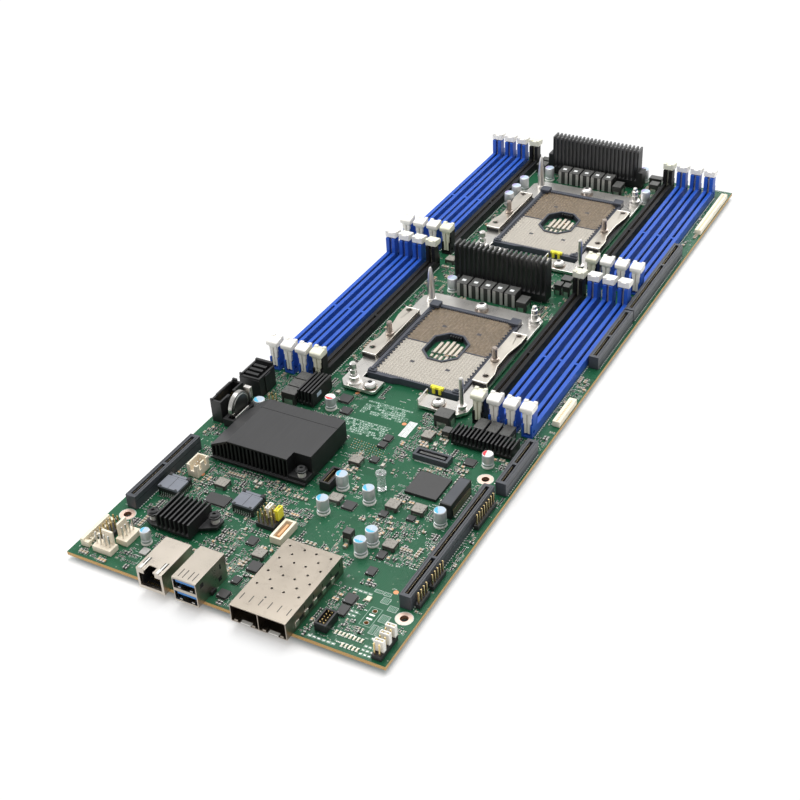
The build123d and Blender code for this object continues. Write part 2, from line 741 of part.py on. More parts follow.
# pin headers: black strips with square pins on a 2.54 grid
pin_grid = 2.54
header_places = [
    (10.6, 13.6, 2, 5),
    (168.6, 38.4, 1, 4),
    (168.6, 51.6, 1, 5),
    (168.6, 97.6, 1, 8),
    (73.14, 55.14, 4, 4),
    (166.03, 3.0, 2, 6),
    (24.6, 140.4, 2, 2),
]
header_strip_h = 2.5
header_pin_h = 8.6
with BuildPart() as pin_headers:
    for x0, y0, columns, rows in header_places:
        x1 = x0 + (columns - 1) * pin_grid
        y1 = y0 + (rows - 1) * pin_grid
        block(x0 - 1.2, x1 + 1.2, y0 - 1.2, y1 + 1.2, 0, header_strip_h)
        for column in range(columns):
            for row in range(rows):
                px = x0 + column * pin_grid
                py = y0 + row * pin_grid
                block(px - 0.32, px + 0.32, py - 0.32, py + 0.32, header_strip_h, header_pin_h)
pin_headers.part.label = "pin_headers"
export_step(pin_headers.part, "parts/pin_headers.step")

# jumper shunts: open-topped sleeves, each pushed over two neighbouring header pins
shunt_w = 2.3
shunt_l = 4.9
shunt_h = 6.0
shunt_bore = 0.64 + 2 * slide_gap
across_shunts = [(167.3, 5.54), (167.3, 10.62), (167.3, 15.7)]
along_shunts = [(75.68, 61.49), (80.76, 61.49)]
with BuildPart() as jumper_shunts:
    for places, dx, dy in ((across_shunts, shunt_l, shunt_w), (along_shunts, shunt_w, shunt_l)):
        for sx, sy in places:
            z0 = header_strip_h + seat_gap
            block(sx - dx / 2, sx + dx / 2, sy - dy / 2, sy + dy / 2, z0, z0 + shunt_h)
            for sign in (-1, 1):
                px = sx + (sign * pin_grid / 2 if dx > dy else 0)
                py = sy + (sign * pin_grid / 2 if dy > dx else 0)
                half = shunt_bore / 2
                block(px - half, px + half, py - half, py + half, z0, z0 + shunt_h, Mode.SUBTRACT)
jumper_shunts.part.label = "jumper_shunts"
export_step(jumper_shunts.part, "parts/jumper_shunts.step")

# flash memory sockets: bodies with a rear hinge knuckle at each side
with BuildPart() as flash_sockets:
    for fx, fy in flash_places:
        x0 = fx - flash_w / 2
        x1 = fx + flash_w / 2
        y0 = fy - flash_l / 2
        y1 = fy + flash_l / 2
        block(x0, x1, y0, y1, 0, flash_h)
        block(x0 + 2.6, x1 - 2.6, y0 + 2.4, y1 - 2.4, 1.4, flash_h, Mode.SUBTRACT)
        for k0, k1 in ((x0, x0 + 1.6), (x1 - 1.6, x1)):
            block(k0, k1, y1 - 2.0, y1, flash_h, flash_h + lid_t + 0.4)
        with BuildSketch(side(x0)):
            with Locations((y1 - 1.0 - mid_y, board_top + flash_h + 0.75)):
                Circle(lid_pin_r + pin_gap)
        extrude(amount=flash_w, mode=Mode.SUBTRACT)
flash_sockets.part.label = "flash_sockets"
export_step(flash_sockets.part, "parts/flash_sockets.step")

# hinged lids of the flash memory sockets
for name, (fx, fy) in zip(("flash_lid_left", "flash_lid_right"), flash_places):
    with BuildPart() as flash_lid:
        x0 = fx - flash_w / 2
        x1 = fx + flash_w / 2
        y0 = fy - flash_l / 2
        y1 = fy + flash_l / 2
        low = flash_h + slide_gap
        block(x0, x1, y0, y1 - 2.4, low, low + lid_t)
        block(x0 + 1.9, x1 - 1.9, y1 - 2.4, y1 - 0.7, low, low + lid_t)
        with BuildSketch(side(x0 + 0.2)):
            with Locations((y1 - 1.0 - mid_y, board_top + flash_h + 0.75)):
                Circle(lid_pin_r)
        extrude(amount=flash_w - 0.4)
    flash_lid.part.label = name
    export_step(flash_lid.part, f"parts/{name}.step")

# larger chips, then the power stages that carry the regulator heat sinks
chip_places = [
    (124.6, 142.0, 106.6, 124.4, 1.6),
    (37.6, 50.2, 58.6, 66.0, 1.1),
    (102.0, 108.2, 83.0, 89.0, 1.2),
    (121.4, 125.4, 85.4, 89.6, 1.2),
    (135.0, 139.0, 88.4, 92.0, 1.2),
    (135.0, 139.0, 58.6, 63.8, 1.2),
    (136.2, 140.4, 46.6, 52.0, 1.2),
    (136.2, 141.4, 26.0, 32.2, 1.4),
    (137.4, 141.6, 18.2, 24.6, 1.4),
    (82.6, 87.8, 4.6, 9.6, 1.4),
    (83.2, 87.0, 15.2, 19.8, 1.2),
    (85.0, 91.0, 25.2, 31.6, 1.6),
    (74.4, 79.0, 40.8, 46.4, 1.2),
    (94.0, 98.2, 139.4, 144.4, 1.4),
    (94.0, 98.2, 133.6, 138.2, 1.4),
    (96.4, 100.6, 121.0, 125.4, 1.2),
    (54.6, 61.2, 160.4, 167.0, 1.4),
    (60.8, 66.4, 151.6, 157.0, 1.2),
    (140.6, 146.4, 138.6, 144.0, 1.2),
    (14.6, 19.2, 106.6, 111.6, 1.4),
]
stage_rows = [
    (58.0, 299.0, 9.8, 6, 1.6),
    (52.6, 461.4, 9.8, 6, 1.6),
    (129.0, 153.4, 8.2, 4, 1.0),
]
with BuildPart() as chips:
    for x0, x1, y0, y1, height in chip_places:
        block(x0, x1, y0, y1, 0, height)
    for first_x, front_y, step, count, height in stage_rows:
        for number in range(count):
            x0 = first_x + number * step
            block(x0, x0 + 6.0, front_y, front_y + 5.6, 0, height)
    for number in range(2):
        y0 = 151.4 + number * 8.8
        block(38.4, 44.4, y0, y0 + 6.0, 0, 1.0)
chips.part.label = "chips"
export_step(chips.part, "parts/chips.step")
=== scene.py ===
import math
import random

import bmesh
import bpy
from mathutils import Matrix, Vector, noise


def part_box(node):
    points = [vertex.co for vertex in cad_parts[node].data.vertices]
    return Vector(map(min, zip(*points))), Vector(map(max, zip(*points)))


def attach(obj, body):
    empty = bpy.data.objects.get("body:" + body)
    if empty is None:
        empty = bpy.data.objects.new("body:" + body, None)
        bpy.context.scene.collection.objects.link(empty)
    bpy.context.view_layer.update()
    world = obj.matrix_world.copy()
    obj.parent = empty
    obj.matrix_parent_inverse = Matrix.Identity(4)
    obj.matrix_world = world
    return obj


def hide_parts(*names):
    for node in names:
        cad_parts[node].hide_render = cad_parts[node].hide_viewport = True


bl_info = {
    "name": "Server Board Dressing",
    "version": (1, 0, 0),
    "blender": (4, 5, 0),
    "location": "View3D > Sidebar > Server Board",
    "description": "Dresses a half-width dual-socket server board with finishes and small parts",
    "category": "Object",
}

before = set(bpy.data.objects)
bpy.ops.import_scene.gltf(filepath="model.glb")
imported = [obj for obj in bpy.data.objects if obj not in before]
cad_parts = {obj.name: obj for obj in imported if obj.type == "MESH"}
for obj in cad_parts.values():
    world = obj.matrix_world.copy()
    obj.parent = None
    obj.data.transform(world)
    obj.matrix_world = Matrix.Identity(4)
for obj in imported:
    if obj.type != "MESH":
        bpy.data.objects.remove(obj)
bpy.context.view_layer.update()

MM = 0.001
board_low, board_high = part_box("pcb")
BOARD_W = (board_high.x - board_low.x) / MM
BOARD_L = (board_high.y - board_low.y) / MM
FRONT_L = 172.0  # the crowded ground in front of the memory sockets
GAP = 0.03  # how far inks and pads lie above the board
SIDES = (-1, 1)

SOCKET_PITCH = 9.35
SOCKET_L = 142.0
BANKS_X = (6.9, 132.35)
BANKS_Y = (173.0, 329.3)
CPU_X = 86.4
CPU_ROWS = (227.7, 390.0)
PLATE_Z = 3.0  # upper face of the plates round the processor sockets
MOUNT_HOLES = ((9.4, 34.7), (166.1, 29.2), (156.0, 133.1))
FLASH_LIDS = (("flash_lid_left", 20.0, 60.2), ("flash_lid_right", 61.2, 64.6))

# card slots: middle x, front end, rear end and the key between their two rows of contacts
CARD_SLOTS = (
    (8.6, 39.5, 94.8, 68.3),
    (163.7, 34.7, 121.7, 63.3),
    (168.2, 124.7, 163.7, 141.8),
    (167.5, 246.4, 299.8, 270.3),
    (167.5, 301.0, 386.0, 357.6),
)


def at(x, y, z=0.0):
    """A place in millimetres from the board's left edge, front edge and upper face."""
    return Vector((board_low.x + x * MM, board_low.y + y * MM, board_high.z + z * MM))


def sockets():
    """Every memory socket as (x, y, is black), numbered from the left front."""
    rows = []
    for bank_y in BANKS_Y:
        for bank_x in BANKS_X:
            for column in range(4):
                black = column == (3 if bank_x < CPU_X else 0)
                rows.append((bank_x + column * SOCKET_PITCH, bank_y, black))
    return sorted(rows, key=lambda row: (row[1], row[0]))


# ---- finishes


def math_node(operation, swapped=False):
    """A method that adds one Math node to the value it is called on."""

    def method(wire, *others):
        values = (*others, wire) if swapped else (wire, *others)
        return wire.paint.math(operation, *values)

    return method


class Wire:
    """One shader value; arithmetic on it adds Math nodes."""

    def __init__(self, paint, socket):
        self.paint = paint
        self.socket = socket

    __add__ = __radd__ = math_node("ADD")
    __mul__ = __rmul__ = math_node("MULTIPLY")
    __sub__ = math_node("SUBTRACT")
    __rsub__ = math_node("SUBTRACT", swapped=True)
    __truediv__ = math_node("DIVIDE")
    __gt__ = math_node("GREATER_THAN")
    __lt__ = math_node("LESS_THAN")
    fract = math_node("FRACT")
    floor = math_node("FLOOR")
    size = math_node("ABSOLUTE")


class Paint:
    """Builds one finish on a Principled shader."""

    def __init__(self, name):
        self.material = bpy.data.materials.new(name)
        self.material.use_nodes = True
        self.tree = self.material.node_tree
        self.shader = self.tree.nodes["Principled BSDF"]
        self.place = self.node("ShaderNodeTexCoord", out=3)

    def node(self, kind, inputs=None, out=0, **settings):
        made = self.tree.nodes.new(kind)
        for key, value in settings.items():
            setattr(made, key, value)
        for key, value in (inputs or {}).items():
            self.put(made.inputs[key], value)
        return Wire(self, made.outputs[out])

    def put(self, socket, value):
        if isinstance(value, Wire):
            self.tree.links.new(value.socket, socket)
        elif isinstance(value, tuple) and len(value) == 3 and socket.type == "RGBA":
            socket.default_value = (*value, 1.0)
        else:
            socket.default_value = value

    def math(self, operation, *values):
        return self.node("ShaderNodeMath", dict(enumerate(values)), operation=operation)

    def mix(self, amount, first, second):
        inputs = {0: amount, 6: first, 7: second}
        return self.node("ShaderNodeMix", inputs, 2, data_type="RGBA", clamp_factor=True)

    def stretched(self, x, y, z):
        return self.node("ShaderNodeMapping", {0: self.place, 3: (x, y, z)})

    def noise(self, scale, detail=2.0, where=None):
        inputs = {"Vector": where or self.place, "Scale": scale, "Detail": detail}
        return self.node("ShaderNodeTexNoise", inputs)

    def cells(self, scale, out=0):
        return self.node("ShaderNodeTexVoronoi", {"Vector": self.place, "Scale": scale}, out)

    def parts(self, value, kind="ShaderNodeSeparateXYZ"):
        """The three numbers of a place or a colour."""
        outputs = self.node(kind, {0: value}).socket.node.outputs
        return [Wire(self, outputs[number]) for number in range(3)]

    def axes(self):
        """Millimetres from the board's left edge, front edge and upper face."""
        lows = (board_low.x, board_low.y, board_high.z)
        return [(value - low) * (1 / MM) for value, low in zip(self.parts(self.place), lows)]

    def upward(self):
        """How far the surface faces up, from -1 to 1."""
        return self.parts(self.node("ShaderNodeNewGeometry", out=1))[2]

    def bump(self, height, strength, distance):
        inputs = {"Strength": strength, "Distance": distance * MM, "Height": height}
        return self.node("ShaderNodeBump", inputs)

    def done(self, colour, rough, metallic=0.0, normal=None, **more):
        values = {"Base Color": colour, "Roughness": rough, "Metallic": metallic, **more}
        if normal is not None:
            values["Normal"] = normal
        for key, value in values.items():
            self.put(self.shader.inputs[key], value)
        return self.material


def shade(colour, amount):
    return tuple(min(1.0, channel * amount) for channel in colour)


def moulded(name, colour, rough, mottle=0.16, shine=0.5):
    """Moulded plastic: faint flow marks, a spark-eroded grain and rubbed, smoother patches."""
    paint = Paint(name)
    flow = paint.noise(90.0, 3.0)
    speck = paint.noise(2600.0)
    tint = paint.mix(flow, shade(colour, 1.0 - mottle), shade(colour, 1.0 + mottle))
    tint = paint.mix((speck > 0.62) * 0.16, tint, shade(colour, 0.6))
    normal = paint.bump(speck, 0.18, 0.05)
    roughness = flow * 0.2 + (rough - 0.1)
    return paint.done(tint, roughness, 0.0, normal, **{"Specular IOR Level": shine})


def metal(name, colour, rough, stretch, mottle=0.12, metallic=1.0):
    """Rolled or drawn metal: fine lines along the rolling direction and cloudy, duller patches."""
    paint = Paint(name)
    lines = paint.noise(1500.0, 2.0, paint.stretched(*stretch))
    cloud = paint.noise(55.0, 3.0)
    stain = paint.noise(300.0, 3.0)
    tint = paint.mix(cloud, shade(colour, 1.0 - mottle), shade(colour, 1.0 + mottle * 0.5))
    tint = paint.mix((stain > 0.62) * 0.22, tint, shade(colour, 0.72))
    roughness = lines * 0.14 + cloud * 0.14 + (rough - 0.12)
    return paint.done(tint, roughness, metallic, paint.bump(lines, 0.05, 0.02))


def solder_mask(name):
    """Green mask over copper tracks on top and below, and bare laminate at the edges."""
    paint = Paint(name)
    x, y, z = paint.axes()
    up = paint.upward().size()
    red, green, _ = paint.parts(paint.cells(95.0, out=1), "ShaderNodeSeparateColor")
    wander = paint.noise(60.0, 1.0) * 2.2
    across = ((x + wander) * 1.15).fract() < 0.34
    along = ((y + wander) * 1.15).fract() < 0.34
    slant = ((x + y) * 0.8 + wander).fract() < 0.3
    slanted = slant * (green > 0.7) * (red > 0.36) * (red < 0.62)
    tracks = paint.math("MINIMUM", across * (red > 0.62) + along * (red < 0.36) + slanted, 1.0)
    pour = paint.noise(26.0)
    vias = (paint.cells(330.0) < 0.12) * (paint.noise(45.0, 1.0) > 0.5)
    mask = paint.mix(pour, (0.005, 0.06, 0.026), (0.018, 0.115, 0.052))
    mask = paint.mix(tracks * 0.4, mask, (0.028, 0.17, 0.085))
    mask = paint.mix(vias * 0.75, mask, (0.42, 0.47, 0.36))
    laminate = paint.mix(paint.noise(800.0), (0.46, 0.28, 0.09), (0.62, 0.42, 0.17))
    laminate = paint.mix(((z * 2.1).fract() > 0.72) * 0.6, laminate, (0.4, 0.16, 0.05))
    tint = paint.mix(up > 0.5, laminate, mask)
    normal = paint.bump(tracks + pour * 0.6, 0.22, 0.05)
    roughness = 0.2 + paint.noise(140.0) * 0.12 + (1.0 - up) * 0.3
    return paint.done(tint, roughness, 0.0, normal, **{"Specular IOR Level": 0.32})


def contact_bed(name):
    """A pale moulding filled with a fine grid of contacts, browner on its rear half."""
    pitch_x, pitch_y, between_rows = 0.99, 0.86, 310.0
    paint = Paint(name)
    x, y, _ = paint.axes()
    middle = CPU_ROWS[0] + (y > between_rows) * (CPU_ROWS[1] - CPU_ROWS[0])
    rear = y > middle
    column = (x / pitch_x).fract() - 0.5
    row = ((y + (x / pitch_x).floor() * 0.43) / pitch_y).fract() - 0.5
    pin = (column * column + row * row) < 0.105
    tip = (column * column + (row - 0.12) * (row - 0.12)) < 0.03
    cloud = paint.noise(30.0)
    grain = paint.noise(760.0) > 0.5
    pale = paint.mix(grain * 0.5 + cloud * 0.2, (0.43, 0.4, 0.35), (0.6, 0.555, 0.49))
    brown = paint.mix(grain * 0.7 + cloud * 0.1, (0.1, 0.08, 0.058), (0.29, 0.24, 0.187))
    pair = ((x / (2 * pitch_x)).fract() > 0.5) * 0.5 + ((y / (2 * pitch_y)).fract() > 0.5) * 0.2
    seam = paint.mix(rear, (0.27, 0.25, 0.22), (0.07, 0.052, 0.036))
    # painted shade: dark dots in the holes between the contacts
    hole = paint.mix(rear, (0.1, 0.085, 0.07), (0.035, 0.025, 0.016))
    spot = paint.mix(rear, (0.9, 0.82, 0.66), (0.62, 0.42, 0.2))
    tint = paint.mix(pair, paint.mix(rear, pale, brown), seam)
    tint = paint.mix(pin, tint, hole)
    tint = paint.mix(tip, tint, spot)
    across = ((x - CPU_X).size() - 11.0).size()
    deep = ((y - middle).size() - 20.0).size()
    tint = paint.mix((across < 1.3) * (deep < 1.0), tint, (0.04, 0.04, 0.05))
    tint = paint.mix(paint.upward() < 0.5, tint, (0.11, 0.12, 0.15))
    normal = paint.bump(1.0 - pin, 0.35, 0.1)
    return paint.done(tint, 0.5 - pin * 0.12, 0.0, normal)


def header_plastic(name, colour, pin_colour, level):
    """Header strips: plastic below the given height and plated pins above it."""
    paint = Paint(name)
    pins = paint.axes()[2] > level
    speck = paint.noise(1900.0)
    cloud = paint.noise(160.0)
    strip = paint.mix(speck, shade(colour, 0.8), shade(colour, 1.25))
    plated = paint.mix(cloud, pin_colour, shade(pin_colour, 0.75))
    tint = paint.mix(pins, strip, plated)
    return paint.done(tint, 0.42 - pins * 0.18 + cloud * 0.08, pins, paint.bump(speck, 0.15, 0.05))


def black_anodised(name, tip_level=None):
    """Black anodised extrusion: die lines front to back, paler grey on faces that look up and light grey
    above an optional height.
    """
    paint = Paint(name)
    lines = paint.noise(700.0, 4.0, paint.stretched(1.0, 0.06, 1.0))
    cloud = paint.noise(50.0, 3.0)
    upward_grey = paint.mix(lines, (0.045, 0.045, 0.046), (0.062, 0.062, 0.063))
    tint = paint.mix(cloud, (0.008, 0.008, 0.009), (0.02, 0.02, 0.021))
    # faces that look up are paler grey
    tint = paint.mix((paint.upward() > 0.6) * 0.72, tint, upward_grey)
    if tip_level:
        # everything above tip_level is lighter grey
        tint = paint.mix((paint.axes()[2] > tip_level) * 0.45, tint, (0.2, 0.2, 0.2))
    return paint.done(tint, 0.36 + cloud * 0.14, 0.35, paint.bump(lines, 0.2, 0.05))


def striped(name, axis, pitch, bright, dark, share=0.5, metallic=1.0):
    """Rows of contacts or solder tails, drawn as even stripes along one axis."""
    paint = Paint(name)
    tooth = (paint.axes()[axis] / pitch).fract() < share
    rubbed = paint.mix(paint.noise(900.0), bright, shade(bright, 0.7))
    tint = paint.mix(tooth, dark, rubbed)
    return paint.done(tint, 0.5 - tooth * 0.2, tooth * metallic, paint.bump(tooth, 0.5, 0.12))


def ferrite(name, low, high, top):
    """Pressed choke bodies: powder grain, chipped edges and a paler, ground top."""
    paint = Paint(name)
    speck = paint.noise(1300.0, 4.0)
    cloud = paint.noise(180.0, 3.0)
    tint = paint.mix(cloud, low, high)
    tint = paint.mix((paint.upward() > 0.5) * 0.6, tint, top)
    tint = paint.mix((speck > 0.56) * 0.45, tint, shade(low, 0.5))
    return paint.done(tint, 0.52 - cloud * 0.1, 0.0, paint.bump(speck, 0.5, 0.09))


def chip_epoxy(name):
    """Moulded chip bodies: fine speckle, a dimple-grey top and darker sides."""
    paint = Paint(name)
    speck = paint.noise(3200.0, 3.0)
    cloud = paint.noise(120.0)
    tint = paint.mix(cloud, (0.016, 0.016, 0.017), (0.036, 0.036, 0.037))
    tint = paint.mix((paint.upward() > 0.5) * 0.35, tint, (0.06, 0.059, 0.057))
    tint = paint.mix((speck > 0.6) * 0.3, tint, (0.012, 0.012, 0.012))
    return paint.done(tint, 0.5 - cloud * 0.12, 0.0, paint.bump(speck, 0.3, 0.05))


def fibrous_ink(name, colour, patchy):
    """Screen-printed ink that thins out in patches."""
    paint = Paint(name)
    thin = paint.noise(1400.0, 3.0) > patchy
    tint = paint.mix(thin * 0.35, colour, (0.2, 0.36, 0.26))
    return paint.done(tint, 0.55, 0.0, paint.bump(thin, 0.1, 0.02))


def clear_plastic(name):
    """Clear, faintly clouded plastic."""
    paint = Paint(name)
    cloud = paint.noise(500.0)
    tint = paint.mix(cloud, (0.9, 0.93, 0.92), (1.0, 1.0, 1.0))
    return paint.done(tint, 0.12 + cloud * 0.1, **{"Transmission Weight": 0.8, "IOR": 1.46})


# how each finish is made: plastics by colour, roughness, mottle and shine; metals by colour,
# roughness, stretch of their lines, mottle and metallic share
RECIPES = {
    "green_mask": (solder_mask,),
    "contact_bed": (contact_bed,),
    "chip_epoxy": (chip_epoxy,),
    "clear_plastic": (clear_plastic,),
    "blue_plastic": (moulded, (0.021, 0.092, 0.46), 0.38, 0.16, 0.28),
    "black_plastic": (moulded, (0.012, 0.012, 0.013), 0.42),
    "socket_black": (moulded, (0.009, 0.009, 0.01), 0.46, 0.16, 0.2),
    "slate_plastic": (moulded, (0.05, 0.056, 0.074), 0.4),
    "charcoal_plastic": (moulded, (0.05, 0.055, 0.066), 0.42),
    "cream_plastic": (moulded, (0.83, 0.76, 0.6), 0.45, 0.06),
    "ivory_plastic": (moulded, (0.84, 0.75, 0.6), 0.45, 0.05),
    "white_plastic": (moulded, (0.86, 0.84, 0.79), 0.42, 0.05),
    "waxy_plastic": (moulded, (0.78, 0.77, 0.62), 0.36, 0.05),
    "lid_plastic": (moulded, (0.17, 0.183, 0.215), 0.4),
    "tongue_blue": (moulded, (0.03, 0.2, 0.55), 0.38),
    "shunt_yellow": (moulded, (0.85, 0.78, 0.05), 0.4, 0.05),
    "peach_plastic": (moulded, (0.72, 0.42, 0.2), 0.5, 0.1),
    # a near-black finish laid as painted shade in slits, holes, grooves, linings and under overhangs
    "dark_gap": (moulded, (0.006, 0.006, 0.007), 0.6),
    "capacitor_cream": (moulded, (0.6, 0.53, 0.44), 0.42, 0.12),
    "capacitor_tan": (moulded, (0.4, 0.31, 0.21), 0.45, 0.25),
    "capacitor_orange": (moulded, (0.6, 0.39, 0.22), 0.45, 0.2),
    "resistor_black": (moulded, (0.02, 0.02, 0.022), 0.35),
    "print_blue": (moulded, (0.08, 0.46, 0.68), 0.35, 0.12),
    "print_red": (moulded, (0.72, 0.03, 0.05), 0.35, 0.12),
    "print_violet": (moulded, (0.36, 0.32, 0.55), 0.35, 0.12),
    "print_pale": (moulded, (0.46, 0.56, 0.66), 0.36, 0.1),
    "jack_steel": (metal, (0.6, 0.54, 0.465), 0.28, (10.0, 1.0, 1.0), 0.14),
    "usb_steel": (metal, (0.5, 0.45, 0.385), 0.3, (10.0, 1.0, 1.0), 0.14),
    "tin_shell": (metal, (0.385, 0.34, 0.285), 0.3, (10.0, 1.0, 1.0), 0.16),
    "plated_steel": (metal, (0.8, 0.775, 0.735), 0.28, (1.0, 14.0, 1.0), 0.14),
    "spring_steel": (metal, (0.8, 0.75, 0.665), 0.3, (14.0, 1.0, 1.0)),
    "dull_steel": (metal, (0.5, 0.43, 0.38), 0.32, (6.0, 6.0, 1.0)),
    "screw_steel": (metal, (0.84, 0.815, 0.78), 0.34, (6.0, 6.0, 1.0), 0.08),
    "choke_plate": (metal, (0.42, 0.41, 0.39), 0.4, (6.0, 6.0, 1.0), 0.12, 0.35),
    "spring_wire": (metal, (0.8, 0.78, 0.75), 0.35, (6.0, 6.0, 1.0), 0.12, 0.4),
    # copper plating inside the mount holes, darkened to near-black brown as painted shade
    "hole_lining": (metal, (0.3, 0.15, 0.09), 0.45, (6.0, 6.0, 1.0), 0.12, 0.5),
    "can_metal": (metal, (0.72, 0.73, 0.745), 0.42, (12.0, 12.0, 1.0), 0.05, 0.68),
    "cell_steel": (metal, (0.6, 0.59, 0.56), 0.25, (1.0, 6.0, 6.0)),
    # the coin cell's flat face as near-black metal, painted shade
    "cell_face": (metal, (0.09, 0.088, 0.085), 0.4, (1.0, 6.0, 6.0)),
    "joint_tin": (metal, (0.47, 0.46, 0.43), 0.42, (3.0, 3.0, 3.0), 0.12, 0.7),
    "solder_tin": (metal, (0.72, 0.71, 0.68), 0.3, (3.0, 3.0, 3.0)),
    "pin_gold": (metal, (0.8, 0.6, 0.26), 0.25, (3.0, 3.0, 8.0)),
    "copper_ring": (metal, (0.86, 0.62, 0.52), 0.4, (4.0, 4.0, 4.0), 0.12, 0.55),
    "copper_dot": (metal, (0.75, 0.3, 0.14), 0.4, (4.0, 4.0, 4.0), 0.12, 0.4),
    "anodised": (black_anodised,),
    "anodised_tall": (black_anodised, 26.6),
    "ferrite": (ferrite, (0.05, 0.047, 0.042), (0.11, 0.104, 0.093), (0.46, 0.43, 0.375)),
    "ferrite_dark": (ferrite, (0.016, 0.016, 0.015), (0.04, 0.039, 0.037), (0.13, 0.13, 0.123)),
    "ink_white": (fibrous_ink, (0.7, 0.76, 0.72), 0.5),
    "ink_pale": (fibrous_ink, (0.42, 0.58, 0.49), 0.4),
    "label_white": (fibrous_ink, (0.82, 0.83, 0.83), 0.6),
    "header_black": (header_plastic, (0.022, 0.022, 0.024), (0.8, 0.62, 0.3), 2.52),
    # stripes: axis, pitch, bright and dark colours, bright share and metallic share
    # the next two stripes are memory socket contacts in dark colours, painted shade deep inside the slots
    "slot_dark": (striped, 1, 0.85, (0.012, 0.03, 0.12), (0.003, 0.006, 0.03), 0.5, 0.0),
    "slot_brown": (striped, 1, 0.85, (0.12, 0.09, 0.055), (0.006, 0.006, 0.006), 0.5, 0.3),
    "slot_contacts": (striped, 1, 0.85, (0.66, 0.5, 0.24), (0.012, 0.012, 0.014), 0.55),
    "card_contacts": (striped, 1, 1.0, (0.62, 0.5, 0.3), (0.015, 0.015, 0.017)),
    "mezzanine_contacts": (striped, 0, 0.6, (0.3, 0.3, 0.29), (0.01, 0.01, 0.012)),
    "pin_tails_y": (striped, 1, 1.7, (0.9, 0.9, 0.87), (0.012, 0.08, 0.04), 0.5, 0.2),
    "pin_tails_x": (striped, 0, 0.8, (0.74, 0.73, 0.7), (0.012, 0.08, 0.04), 0.5, 0.2),
}
FINISHES = {}


def finish(name):
    if name not in FINISHES:
        maker, *values = RECIPES[name]
        FINISHES[name] = maker(name, *values)
    return FINISHES[name]


# ---- shapes


